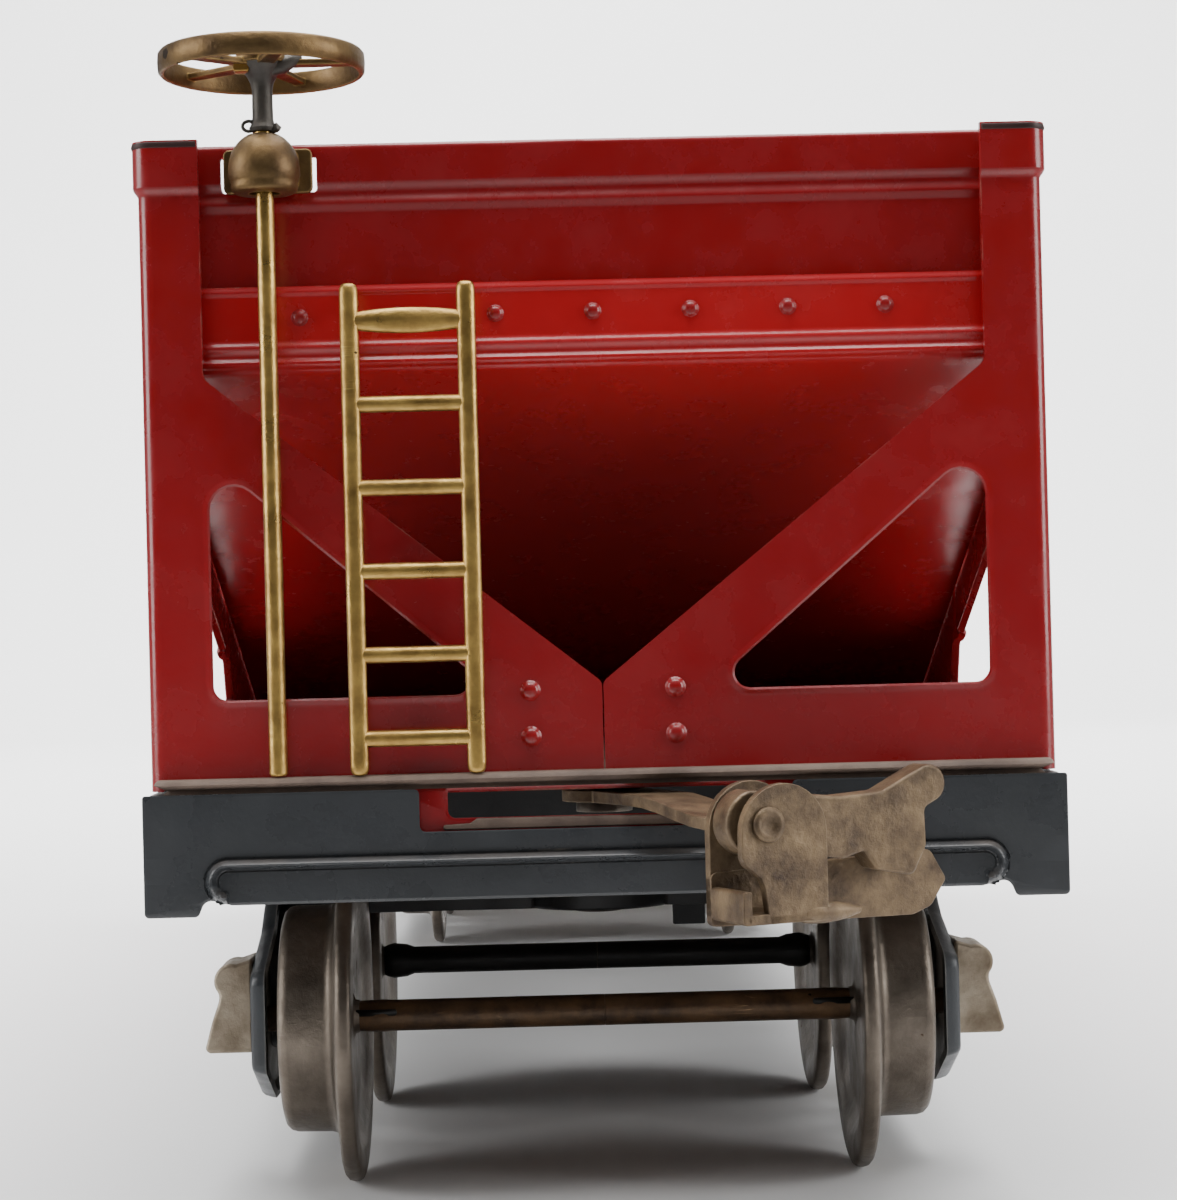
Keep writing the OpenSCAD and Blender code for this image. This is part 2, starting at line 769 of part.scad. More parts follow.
module coupler_shank(far) {
  coupler_place(far) color(tarnish)
    difference() {
      union() {
        translate([0, 0, shank_z])
          linear_extrude(shank_t)
            polygon([
              [-shank_w / 2, 0], [shank_w / 2, 0],
              [cheek_left + 0.1 + shank_w, -head_u], [cheek_left + 0.1, -head_u]
            ]);
        translate([0, 0, shank_z]) cylinder(r = eye_r, h = shank_t);
      }
      translate([0, 0, shank_z - 1]) cylinder(r = coupler_rivet_r + run, h = shank_t + 2);
    }
}

// Latch: a lever on a pin, with a raised thumb tail and a hook lobe over the plate
module coupler_latch(far) {
  coupler_place(far) color(tarnish)
    difference() {
      coupler_plate(latch_u, latch_t)
        polygon(concat(
          arc(latch_v, latch_z, 2.6, 100, 250, 8),
          [[4.1, latch_z - 2.6], [8.4, latch_z - 3.2], [10.2, latch_z - 2.7], [11.3, latch_z - 4.2],
           [14.7, latch_z - 4.9], [16, latch_z - 2.6], [15.9, latch_z + 0.4]],
          arc(16.4, latch_z + 2.3, 1.5, -60, 110, 6),
          [[14.3, latch_z + 3], [12, latch_z + 1.9], [8.2, latch_z + 1.7], [3, latch_z + 2.2]]
        ));
      coupler_plate(latch_u - 1, latch_t + 2) translate([latch_v, latch_z]) circle(r = latch_pin_r + run);
    }
}

// The pin is riveted flush behind and has a head in front
module latch_pin(far) {
  pin_head = 0.6;
  coupler_place(far) color(tarnish) {
    coupler_plate(head_u, head_l + pin_head) translate([latch_v, latch_z]) circle(r = latch_pin_r);
    coupler_plate(head_u + head_l, pin_head)
      translate([latch_v, latch_z]) circle(r = latch_pin_r + 0.5);
  }
}

frame_deck();
end_beam(false);  // end_beam_near
end_beam(true);  // end_beam_far
slot_plate(false);  // slot_plate_near
slot_plate(true);  // slot_plate_far
body_side(true);  // body_side_left
body_side(false);  // body_side_right
end_wall(false);  // end_wall_near
end_wall(true);  // end_wall_far
slope_sheet(false);  // slope_sheet_near
slope_sheet(true);  // slope_sheet_far
hopper_ridge();
chute(false);  // chute_near
chute(true);  // chute_far
rivets(false);  // rivets_near
rivets(true);  // rivets_far
ladder(false);  // ladder_near
ladder(true);  // ladder_far
brake_bracket();
body_bolster(false);  // body_bolster_near
body_bolster(true);  // body_bolster_far
kingpin(false);  // kingpin_near
kingpin(true);  // kingpin_far
coupler_rivet(false);  // coupler_rivet_near
coupler_rivet(true);  // coupler_rivet_far
side_frame(true, false);  // side_frame_left_near
side_frame(false, false);  // side_frame_right_near
truck_bolster(false);  // truck_bolster_near
journal_boxes(false);  // journal_boxes_near
side_frame(false, true);  // side_frame_left_far
side_frame(true, true);  // side_frame_right_far
truck_bolster(true);  // truck_bolster_far
journal_boxes(true);  // journal_boxes_far
wheels(1);  // wheels_1
wheels(2);  // wheels_2
wheels(3);  // wheels_3
wheels(4);  // wheels_4
axle(1);  // axle_1
axle(2);  // axle_2
axle(3);  // axle_3
axle(4);  // axle_4
axle_sleeve(1);  // axle_sleeve_1
axle_sleeve(2);  // axle_sleeve_2
axle_sleeve(3);  // axle_sleeve_3
axle_sleeve(4);  // axle_sleeve_4
coupler_head(false);  // coupler_head_near
coupler_head(true);  // coupler_head_far
coupler_shank(false);  // coupler_shank_near
coupler_shank(true);  // coupler_shank_far
coupler_latch(false);  // coupler_latch_near
coupler_latch(true);  // coupler_latch_far
latch_pin(false);  // latch_pin_near
latch_pin(true);  // latch_pin_far
brake_staff();
brake_wheel();
brake_nut();
chute_door(false);  // chute_door_near
chute_door(true);  // chute_door_far
door_rod(false);  // door_rod_near
door_rod(true);  // door_rod_far
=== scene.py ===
"""Toy railway hopper wagon: the looks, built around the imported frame. Lengths in the script are millimetres."""

from math import atan2, cos, hypot, pi, radians, sin, tan

import bmesh
import bpy
from bpy.props import FloatProperty, FloatVectorProperty, IntProperty, PointerProperty
from mathutils import Matrix, Vector


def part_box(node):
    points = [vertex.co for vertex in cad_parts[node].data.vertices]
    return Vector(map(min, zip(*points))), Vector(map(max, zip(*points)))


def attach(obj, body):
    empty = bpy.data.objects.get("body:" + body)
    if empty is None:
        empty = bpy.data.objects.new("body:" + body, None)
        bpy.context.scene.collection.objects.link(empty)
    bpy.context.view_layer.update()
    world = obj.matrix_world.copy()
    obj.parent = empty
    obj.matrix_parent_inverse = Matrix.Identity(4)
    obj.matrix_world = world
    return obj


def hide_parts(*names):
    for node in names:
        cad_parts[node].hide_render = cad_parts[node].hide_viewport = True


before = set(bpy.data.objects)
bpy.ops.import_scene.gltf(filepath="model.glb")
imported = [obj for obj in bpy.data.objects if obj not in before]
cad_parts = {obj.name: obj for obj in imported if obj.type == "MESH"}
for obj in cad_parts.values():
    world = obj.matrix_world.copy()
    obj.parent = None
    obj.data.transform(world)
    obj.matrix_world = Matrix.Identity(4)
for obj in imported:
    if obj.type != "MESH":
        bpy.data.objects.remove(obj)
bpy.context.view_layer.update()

bl_info = {
    "name": "Toy Hopper Wagon",
    "version": (1, 0, 0),
    "blender": (4, 5, 0),
    "location": "View3D > Sidebar > Wagon",
    "description": "Builds a pressed-sheet toy railway hopper wagon around its packed frame",
    "category": "Object",
}

MM = 0.001
ENDS = ("near", "far")


# ---- places, read from the frame ----

def low(node):
    """Lowest corner of a CAD node, in millimetres."""
    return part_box(node)[0] / MM


def high(node):
    """Highest corner of a CAD node, in millimetres."""
    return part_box(node)[1] / MM


RIM_OUT = 0.5
HALF_W = high("body_side_right").x - RIM_OUT
END_Y = high("body_side_right").y - 0.3
RIM_Z = high("body_side_right").z
DECK_Z = low("body_side_right").z
DECK_T = 1.2
DECK_UNDER = DECK_Z - DECK_T
SHEET = 0.8
BEAM_Y = high("end_beam_far").y
BEAM_FACE_Y = BEAM_Y - 0.8
BEAM_LOW = low("end_beam_near").z
BEAM_HALF_W = high("end_beam_near").x
WALL_Y = high("end_wall_far").y - 0.35
SLOPE_TOP_Z = low("end_wall_near").z - 1
LAP_TOP_Z = high("slope_sheet_near").z
LAP_Y = high("slope_sheet_far").y
SLOPE_FOOT_Y = -high("slope_sheet_near").y
INNER_HALF = HALF_W - SHEET
POST_W = 6
V_OUT_X = HALF_W - POST_W + 0.8
V_TOP_Z = SLOPE_TOP_Z - 1
GUSSET_Z = 46.5
AXLE_Z = high("wheels_1").z / 2
FLANGE_R = AXLE_Z
STAFF = (low("brake_staff") + high("brake_staff")) / 2
WHEEL_Z = (low("brake_wheel").z + high("brake_wheel").z) / 2
COUPLER_PIVOT_Y = (high("coupler_rivet_far").y + low("coupler_rivet_far").y) / 2
COUPLER_REST = 25


# ---- meshes ----

def oriented(loop, counterclockwise):
    """The loop as 2-D vectors, turned the way asked."""
    points = [Vector(p) for p in loop]
    area = sum(a.cross(b) for a, b in zip(points, points[1:] + points[:1]))
    return points if (area > 0) == counterclockwise else points[::-1]


def inset_loop(loop, distance):
    """The loop moved to its left by a distance, mitred at its corners."""
    moved = []
    for i, point in enumerate(loop):
        before = (point - loop[i - 1]).normalized()
        after = (loop[(i + 1) % len(loop)] - point).normalized()
        normal = Vector((-before.y - after.y, before.x + after.x)).normalized()
        stretch = max(normal.dot(Vector((-before.y, before.x))), 0.4)
        moved.append(point + normal * (distance / stretch))
    return moved


def fillet(points, radii, steps=5):
    """A polygon with its corners rounded, each to its own radius."""
    rounded = []
    for i, (point, radius) in enumerate(zip(points, radii)):
        corner = Vector(point)
        if radius <= 0:
            rounded.append(corner)
            continue
        back = (Vector(points[i - 1]) - corner).normalized()
        on = (Vector(points[(i + 1) % len(points)]) - corner).normalized()
        half = back.angle(on) / 2
        centre = corner + (back + on).normalized() * (radius / sin(half))
        start = corner + back * (radius / tan(half)) - centre
        end = corner + on * (radius / tan(half)) - centre
        first = atan2(start.y, start.x)
        turn = (atan2(end.y, end.x) - first + pi) % (2 * pi) - pi
        for k in range(steps + 1):
            angle = first + turn * k / steps
            rounded.append(centre + Vector((cos(angle), sin(angle))) * radius)
    return rounded


def rectangle(x0, y0, x1, y1, radii=(0,) * 4, steps=3):
    """A rectangle with its corners rounded, from the first corner round by way of (x1, y0)."""
    return fillet([(x0, y0), (x1, y0), (x1, y1), (x0, y1)], radii, steps)


def span(first, last, count):
    """Evenly spaced values from first to last."""
    return [first + (last - first) * i / (count - 1) for i in range(count)]


def smooth_step(value, first, last):
    """0 before first, 1 after last, and a smooth rise between."""
    t = min(max((value - first) / (last - first), 0), 1)
    return t * t * (3 - 2 * t)


def bead(value, centre, half_width):
    """A half-round bead's height, from 0 to 1."""
    t = abs(value - centre) / half_width
    return (1 - t * t) ** 0.5 if t < 1 else 0


def hump(value, centre, half_width):
    """A soft swelling's height, from 0 to 1."""
    t = abs(value - centre) / half_width
    return 0.5 + 0.5 * cos(pi * t) if t < 1 else 0


def face_out(bm):
    """Turns every face outward."""
    bmesh.ops.recalc_face_normals(bm, faces=bm.faces[:])


def join_rings(bm, rings):
    """Walls of faces between rings of vertices."""
    for a, b in zip(rings, rings[1:]):
        for i in range(len(a)):
            j = (i + 1) % len(a)
            bm.faces.new((a[i], a[j], b[j], b[i]))


def close_skin(bm, rings):
    """A closed skin over rings of vertices."""
    join_rings(bm, rings)
    bm.faces.new(rings[0][::-1])
    bm.faces.new(rings[-1])
    face_out(bm)


def pressed_plate(place, outer, holes=(), lips=(), columns=(), rows=(), rim=None):
    """Flat sheet in u and v, with a lip along its edges, cut along columns and rows, then set in place.

    lips holds (distance in from the edge, height) pairs; rim is the same for the outer edge where that
    differs. place turns u, v and height into a point.
    """
    bm = bmesh.new()
    lift = bm.verts.layers.float.new("lift")
    fill_edges = []
    for loop, turn in [(outer, True)] + [(hole, False) for hole in holes]:
        points = oriented(loop, turn)
        profile = lips if rim is None or not turn else rim
        if not profile or profile[0][0] > 0:
            profile = [(0, 0), *profile]
        rings = []
        for distance, height in profile:
            ring = [bm.verts.new((p.x, p.y, 0)) for p in inset_loop(points, distance)]
            for vert in ring:
                vert[lift] = height
            rings.append(ring)
        join_rings(bm, rings)
        for pair in zip(rings[-1], rings[-1][1:] + rings[-1][:1]):
            fill_edges.append(bm.edges.get(pair) or bm.edges.new(pair))
    bmesh.ops.triangle_fill(bm, use_beauty=True, edges=fill_edges, normal=(0, 0, 1))
    for values, axis in ((columns, 0), (rows, 1)):
        normal = Vector((1, 0, 0)) if axis == 0 else Vector((0, 1, 0))
        for value in values:
            geometry = bm.verts[:] + bm.edges[:] + bm.faces[:]
            bmesh.ops.bisect_plane(bm, geom=geometry, dist=0.002, plane_co=normal * value, plane_no=normal)
    bm.normal_update()
    for face in bm.faces:
        if face.normal.z < 0:
            face.normal_flip()
    outward = {}
    for vert in bm.verts:
        u, v, height = vert.co.x, vert.co.y, vert[lift]
        vert.co = place(u, v, height)
        outward[vert] = place(u, v, height + 1) - vert.co
    bm.normal_update()
    if sum(face.calc_area() * face.normal.dot(outward[face.verts[0]]) for face in bm.faces) < 0:
        bmesh.ops.reverse_faces(bm, faces=bm.faces[:])
    return bm


def from_bmesh(name, bm, material):
    """An object in the scene from a mesh in millimetres."""
    mesh = bpy.data.meshes.new(name)
    bm.to_mesh(mesh)
    bm.free()
    mesh.transform(Matrix.Scale(MM, 4))
    mesh.polygons.foreach_set("use_smooth", [True] * len(mesh.polygons))
    mesh.materials.append(material)
    piece = bpy.data.objects.new(name, mesh)
    bpy.context.scene.collection.objects.link(piece)
    return piece


def ease(piece, width, segments=2, angle=40):
    """Rounds a piece's sharp edges."""
    bevel = piece.modifiers.new("Eased edges", "BEVEL")
    bevel.width = width * MM
    bevel.segments = segments
    bevel.limit_method = "ANGLE"
    bevel.angle_limit = radians(angle)
    bevel.use_clamp_overlap = True
    bevel.harden_normals = True
    weigh = piece.modifiers.new("Flat faces", "WEIGHTED_NORMAL")
    weigh.keep_sharp = True
    return piece


def sheet_piece(name, bm, thickness, material, edge=0.12):
    """A pressed sheet with its real thickness on the inner side and eased edges."""
    piece = from_bmesh(name, bm, material)
    solid = piece.modifiers.new("Thickness", "SOLIDIFY")
    solid.thickness = thickness * MM
    solid.offset = -1
    solid.use_even_offset = True
    return ease(piece, edge)


def lathe(bm, profile, steps=96, place=Matrix.Identity(4)):
    """Turns (radius, height) points about Z and puts the result in place. Closed ends need radius 0."""
    rings = []
    for radius, height in profile:
        if radius < 1e-6:
            rings.append([bm.verts.new(place @ Vector((0, 0, height)))])
            continue
        ring = []
        for i in range(steps):
            angle = 2 * pi * i / steps
            ring.append(bm.verts.new(place @ Vector((radius * cos(angle), radius * sin(angle), height))))
        rings.append(ring)
    for a, b in zip(rings, rings[1:]):
        for i in range(steps):
            j = (i + 1) % steps
            corners = [a[i % len(a)], a[j % len(a)], b[j % len(b)], b[i % len(b)]]
            unique = list(dict.fromkeys(corners))
            if len(unique) > 2:
                bm.faces.new(unique)


def arc(x, y, radius, first, last, steps=5):
    """Points on an arc, with its angles in degrees."""
    turns = [radians(a) for a in span(first, last, steps + 1)]
    return [(x + radius * cos(t), y + radius * sin(t)) for t in turns]


def prism(bm, outline, depth, place):
    """A closed solid from an outline in u and v; place turns u, v and depth into a point."""
    points = oriented(outline, True)
    close_skin(bm, [[bm.verts.new(place(p.x, p.y, d)) for p in points] for d in (0, depth)])


def tube(bm, path, radii, sides=16):
    """A closed round bar along a path, with one radius or one (across, along Y) pair for each point."""
    rings = []
    for i, point in enumerate(path):
        centre = Vector(point)
        ahead = Vector(path[min(i + 1, len(path) - 1)]) - Vector(path[max(i - 1, 0)])
        ahead.normalize()
        across = ahead.orthogonal() if abs(ahead.y) > 0.99 else ahead.cross(Vector((0, 1, 0)))
        across.normalize()
        third = across.cross(ahead).normalized()
        wide, deep = radii[i] if isinstance(radii[i], tuple) else (radii[i], radii[i])
        ring = []
        for k in range(sides):
            angle = 2 * pi * k / sides
            ring.append(bm.verts.new(centre + across * (wide * cos(angle)) + third * (deep * sin(angle))))
        rings.append(ring)
    close_skin(bm, rings)


def at_end(end):
    """Turns what is built at the near end to the far one."""
    return Matrix.Rotation(pi if end == "far" else 0, 4, "Z")


def turn_to(bm, end):
    """What was built at the near end, at the end asked for."""
    bmesh.ops.transform(bm, matrix=at_end(end), verts=bm.verts)
    return bm


def finish_piece(piece, body, slot, *nodes):
    """Rides a piece on its body and lets it stand for its CAD nodes."""
    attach(piece, body)
    if nodes:
        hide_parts(*nodes)


def dress(node, material, width=0.0):
    """Keeps a CAD node and gives it a material and, if asked, eased edges."""
    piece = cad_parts[node]
    piece.data.materials.clear()
    piece.data.materials.append(material)
    if width:
        piece.modifiers.new("Joined corners", "WELD").merge_threshold = 1e-6
        ease(piece, width, 2, 30)


# ---- finishes ----

class Graph:
    """Adds nodes to a tree; an input given as a socket is linked, and any other value is set."""

    def __init__(self, tree):
        self.tree = tree

    def add(self, kind, inputs=None, **settings):
        node = self.tree.nodes.new(kind)
        for key, value in settings.items():
            setattr(node, key, value)
        return self.fill(node, inputs)

    def fill(self, node, inputs):
        for key, value in (inputs or {}).items():
            if isinstance(value, bpy.types.NodeSocket):
                self.tree.links.new(value, node.inputs[key])
            else:
                node.inputs[key].default_value = value
        return node

    def math(self, operation, first, second=0.0, clamp=False):
        return self.add("ShaderNodeMath", {0: first, 1: second}, operation=operation, use_clamp=clamp).outputs[0]

    def times(self, first, second, clamp=False):
        return self.math("MULTIPLY", first, second, clamp)

    def place(self):
        """Where a point lies on its piece."""
        return self.add("ShaderNodeTexCoord").outputs["Object"]

    def ramp(self, value, low_in, high_in, low_out=0.0, high_out=1.0):
        inputs = {"Value": value, "From Min": low_in, "From Max": high_in, "To Min": low_out, "To Max": high_out}
        return self.add("ShaderNodeMapRange", inputs, interpolation_type="SMOOTHSTEP").outputs["Result"]

    def above(self, value, level, width):
        """0 up to a level, which may be a socket, then a straight rise to 1."""
        inputs = {"Value": value, "From Min": level, "From Max": self.math("ADD", level, width)}
        return self.add("ShaderNodeMapRange", inputs).outputs["Result"]

    def mix(self, factor, first, second):
        inputs = {"Factor": factor, 6: first, 7: second}
        return self.add("ShaderNodeMix", inputs, data_type="RGBA").outputs[2]

    def noise(self, vector, scale, detail=4.0, roughness=0.55):
        inputs = {"Vector": vector, "Scale": scale, "Detail": detail, "Roughness": roughness}
        return self.add("ShaderNodeTexNoise", inputs).outputs["Fac"]

    def group(self, tree, inputs):
        """A shared effect, by its one output."""
        return self.add("ShaderNodeGroup", inputs, node_tree=tree).outputs[0]


def new_group(name, inputs, output, output_kind="NodeSocketFloat"):
    """An empty shared effect: its graph, its input sockets and a function that sets its output."""
    tree = bpy.data.node_groups.new(name, "ShaderNodeTree")
    for label, kind, default in inputs:
        socket = tree.interface.new_socket(label, in_out="INPUT", socket_type=kind)
        socket.default_value = default
    tree.interface.new_socket(output, in_out="OUTPUT", socket_type=output_kind)
    graph = Graph(tree)
    entry = tree.nodes.new("NodeGroupInput")
    leave = tree.nodes.new("NodeGroupOutput")
    return graph, entry.outputs, lambda socket: tree.links.new(socket, leave.inputs[0])


FLOAT, COLOUR = "NodeSocketFloat", "NodeSocketColor"


def edge_wear_group():
    """Paint rubbed off along edges, broken up by noise."""
    inputs = [("Width", FLOAT, 0.0003), ("Amount", FLOAT, 0.5), ("Scale", FLOAT, 400.0)]
    graph, given, result = new_group("Edge wear", inputs, "Mask")
    place = graph.place()
    soft = graph.add("ShaderNodeBevel", {"Radius": given["Width"]}, samples=6).outputs["Normal"]
    true = graph.add("ShaderNodeNewGeometry").outputs["Normal"]
    together = graph.add("ShaderNodeVectorMath", {0: soft, 1: true}, operation="DOT_PRODUCT").outputs["Value"]
    edge = graph.ramp(together, 0.995, 0.86)
    fine = graph.noise(place, given["Scale"], 5.0, 0.65)
    broad = graph.noise(place, graph.times(given["Scale"], 0.12), 2.0)
    broken = graph.math("ADD", graph.times(fine, 0.55), graph.times(broad, 0.75))
    level = graph.math("SUBTRACT", 1.12, given["Amount"])
    result(graph.times(edge, graph.above(broken, level, 0.12), True))
    return graph.tree


def chips_group():
    """Small scattered chips and specks."""
    inputs = [("Scale", FLOAT, 300.0), ("Amount", FLOAT, 0.3)]
    graph, given, result = new_group("Chips", inputs, "Mask")
    place = graph.place()
    cells = graph.add("ShaderNodeTexVoronoi", {"Vector": place, "Scale": given["Scale"]}, distance="EUCLIDEAN")
    fine = graph.noise(place, graph.times(given["Scale"], 2.3), 3.0, 0.7)
    where = graph.noise(place, graph.times(given["Scale"], 0.16), 3.0)
    size = graph.times(graph.ramp(where, 0.45, 0.8), given["Amount"])
    reach = graph.math("ADD", cells.outputs["Distance"], graph.times(fine, 0.35))
    inside = graph.math("SUBTRACT", graph.math("ADD", size, 0.12), reach)
    result(graph.ramp(inside, 0.0, 0.05))
    return graph.tree


def mottle_group():
    """Two colours in soft uneven patches."""
    inputs = [("Scale", FLOAT, 60.0), ("Colour 1", COLOUR, (1, 1, 1, 1)), ("Colour 2", COLOUR, (0, 0, 0, 1)),
              ("Contrast", FLOAT, 0.5)]
    graph, given, result = new_group("Mottle", inputs, "Colour", COLOUR)
    place = graph.place()
    broad = graph.noise(place, given["Scale"], 6.0, 0.62)
    half = graph.times(graph.math("SUBTRACT", 1.0, given["Contrast"]), 0.35)
    blend = graph.add("ShaderNodeMapRange", {"Value": broad, "From Min": graph.math("SUBTRACT", 0.5, half),
                                             "From Max": graph.math("ADD", 0.52, half)}).outputs["Result"]
    result(graph.mix(blend, given["Colour 1"], given["Colour 2"]))
    return graph.tree


def dust_group():
    """Dust lying on what faces up, thicker in patches."""
    inputs = [("Amount", FLOAT, 0.4), ("Scale", FLOAT, 120.0)]
    graph, given, result = new_group("Dust", inputs, "Mask")
    place = graph.place()
    normal = graph.add("ShaderNodeNewGeometry").outputs["Normal"]
    up = graph.add("ShaderNodeSeparateXYZ", {"Vector": normal}).outputs["Z"]
    facing = graph.ramp(up, 0.25, 0.95)
    patches = graph.ramp(graph.noise(place, given["Scale"], 6.0, 0.6), 0.3, 0.75)
    result(graph.times(graph.times(facing, patches), given["Amount"], True))
    return graph.tree


def scratches_group():
    """Thin scratches, mostly level, each a few millimetres long."""
    inputs = [("Scale", FLOAT, 120.0), ("Amount", FLOAT, 0.3)]
    graph, given, result = new_group("Scratches", inputs, "Mask")
    place = graph.place()
    tilt = graph.add("ShaderNodeMapping", {"Vector": place, "Rotation": (0.0, 0.12, 0.0), "Scale": (1.0, 1.0, 17.0)})
    lines = graph.noise(tilt.outputs["Vector"], given["Scale"], 2.0, 0.4)
    near = graph.math("ABSOLUTE", graph.math("SUBTRACT", lines, 0.5))
    thin = graph.ramp(near, 0.012, 0.002)
    where = graph.noise(place, graph.times(given["Scale"], 0.7), 3.0, 0.6)
    level = graph.math("SUBTRACT", 0.85, graph.times(given["Amount"], 0.4))
    result(graph.times(thin, graph.above(where, level, 0.06), True))
    return graph.tree


def relief_group():
    """Hand-made unevenness: slow waves, dimples and a fine skin."""
    inputs = [("Waves", FLOAT, 0.3), ("Skin", FLOAT, 0.2), ("Scale", FLOAT, 900.0)]
    graph, given, result = new_group("Relief", inputs, "Normal", "NodeSocketVector")
    place = graph.place()
    waves = graph.noise(place, 55.0, 2.0, 0.5)
    skin = graph.noise(place, given["Scale"], 6.0, 0.7)
    broad = graph.add("ShaderNodeBump", {"Strength": given["Waves"], "Distance": 0.0012, "Height": waves})
    fine = graph.add("ShaderNodeBump", {"Strength": given["Skin"], "Distance": 0.00012, "Height": skin,
                                        "Normal": broad.outputs["Normal"]})
    result(fine.outputs["Normal"])
    return graph.tree


def rgb(red, green, blue):
    """A display colour, 0 to 255, as a linear one."""
    linear = [c / 255 / 12.92 if c < 10.3 else ((c / 255 + 0.055) / 1.055) ** 2.4 for c in (red, green, blue)]
    return (*linear, 1.0)


# Each finish: its two body colours, then the colours of worn edges, chips and dust; how metallic, rough and coated
# it is; its worn edges' width in millimetres and their strength; the amounts of its other effects, and their scales
LOOK = ("base", "deep", "bare", "chip", "dust", "metallic", "rough", "coat", "edge", "edge_amount", "chips",
        "chip_scale", "scratch", "dusting", "waves", "skin", "mottle")
FINISHES = {name: dict(zip(LOOK, values)) for name, *values in (
    ("red_enamel", (146, 26, 30), (138, 22, 27), (150, 96, 84), (60, 24, 22), (150, 84, 80),
     0.0, 0.22, 0.2, 0.2, 0.45, 0.1, 420, 0.4, 0.15, 0.3, 0.2, 25),
    # The slopes' red is brighter than the body's enamel: painted light on the slope sheets, which lie in the hopper's
    # shade.
    ("red_slope_painted_light", (188, 34, 40), (176, 28, 34), (170, 110, 96), (90, 34, 32), (170, 96, 90),
     0.0, 0.2, 0.2, 0.22, 0.4, 0.02, 420, 0.3, 0.03, 0.3, 0.2, 25),
    ("rim_brown", (66, 38, 34), (40, 22, 20), (140, 106, 96), (28, 16, 14), (120, 92, 84),
     0.2, 0.5, 0.0, 0.25, 0.55, 0.3, 500, 0.3, 0.25, 0.3, 0.5, 110),
    ("black_enamel", (55, 57, 60), (50, 52, 54), (112, 106, 98), (110, 98, 84), (112, 102, 94),
     0.0, 0.28, 0.1, 0.18, 0.36, 0.08, 400, 0.5, 0.45, 0.3, 0.3, 60),
    # A black darker than the frame's enamel: painted shade for the parts under the wagon.
    ("under_black_painted_shade", (24, 24, 25), (15, 15, 16), (64, 60, 54), (50, 46, 42), (44, 42, 40),
     0.0, 0.45, 0.0, 0.25, 0.4, 0.14, 400, 0.3, 0.4, 0.3, 0.4, 60),
    # The deck's pale brown-grey stands for black paint that is partly dusty and partly a painted sheen along its
    # grazing top and rounded front edge.
    ("deck_worn_with_painted_sheen", (126, 108, 96), (88, 74, 66), (112, 98, 88), (42, 34, 30), (118, 102, 90),
     0.0, 0.72, 0.0, 0.12, 0.12, 0.4, 420, 0.5, 0.4, 0.3, 0.6, 190),
    ("truck_enamel", (45, 49, 53), (32, 35, 38), (104, 102, 98), (100, 92, 82), (96, 90, 84),
     0.1, 0.36, 0.05, 0.3, 0.58, 0.2, 420, 0.5, 0.4, 0.3, 0.4, 80),
    ("nickel", (160, 148, 130), (112, 98, 80), (206, 196, 178), (84, 68, 52), (150, 134, 116),
     0.6, 0.42, 0.0, 0.3, 0.6, 0.3, 500, 0.5, 0.3, 0.35, 0.6, 260),
    ("brass", (206, 170, 96), (150, 118, 66), (240, 214, 132), (80, 60, 38), (150, 124, 84),
     0.9, 0.32, 0.0, 0.1, 0.4, 0.35, 480, 0.6, 0.25, 0.4, 0.6, 420),
    ("aged_brass", (132, 106, 68), (74, 56, 38), (196, 164, 106), (46, 36, 28), (120, 98, 74),
     0.8, 0.38, 0.0, 0.3, 0.62, 0.35, 450, 0.5, 0.35, 0.4, 0.7, 240),
    ("solder", (92, 88, 82), (60, 56, 54), (140, 136, 128), (44, 40, 38), (100, 94, 86),
     0.7, 0.45, 0.0, 0.3, 0.5, 0.35, 450, 0.3, 0.35, 0.8, 0.9, 240),
    ("wheel_steel", (118, 108, 97), (80, 72, 64), (176, 166, 152), (70, 52, 38), (126, 112, 98),
     0.75, 0.38, 0.0, 0.35, 0.5, 0.35, 480, 0.4, 0.3, 0.25, 0.8, 190),
    ("axle_steel", (108, 82, 56), (52, 40, 32), (180, 146, 104), (34, 26, 22), (126, 100, 76),
     0.5, 0.42, 0.0, 0.25, 0.5, 0.4, 500, 0.7, 0.5, 0.3, 0.8, 300),
    ("rivet_steel", (112, 104, 94), (70, 62, 54), (160, 152, 140), (54, 44, 34), (112, 100, 88),
     0.75, 0.42, 0.0, 0.2, 0.5, 0.25, 500, 0.4, 0.3, 0.2, 0.5, 200),
    ("tarnished_nickel", (132, 111, 84), (62, 48, 38), (176, 158, 130), (72, 56, 46), (106, 88, 68),
     0.5, 0.44, 0.0, 0.22, 0.45, 0.12, 800, 0.5, 0.4, 0.5, 1.0, 330),
    ("axle_black", (32, 30, 29), (20, 19, 18), (90, 78, 66), (70, 58, 46), (64, 56, 50),
     0.2, 0.45, 0.0, 0.25, 0.45, 0.25, 500, 0.4, 0.3, 0.3, 0.6, 200),
)}

ENAMEL = rgb(*FINISHES["red_enamel"]["base"])[:3]


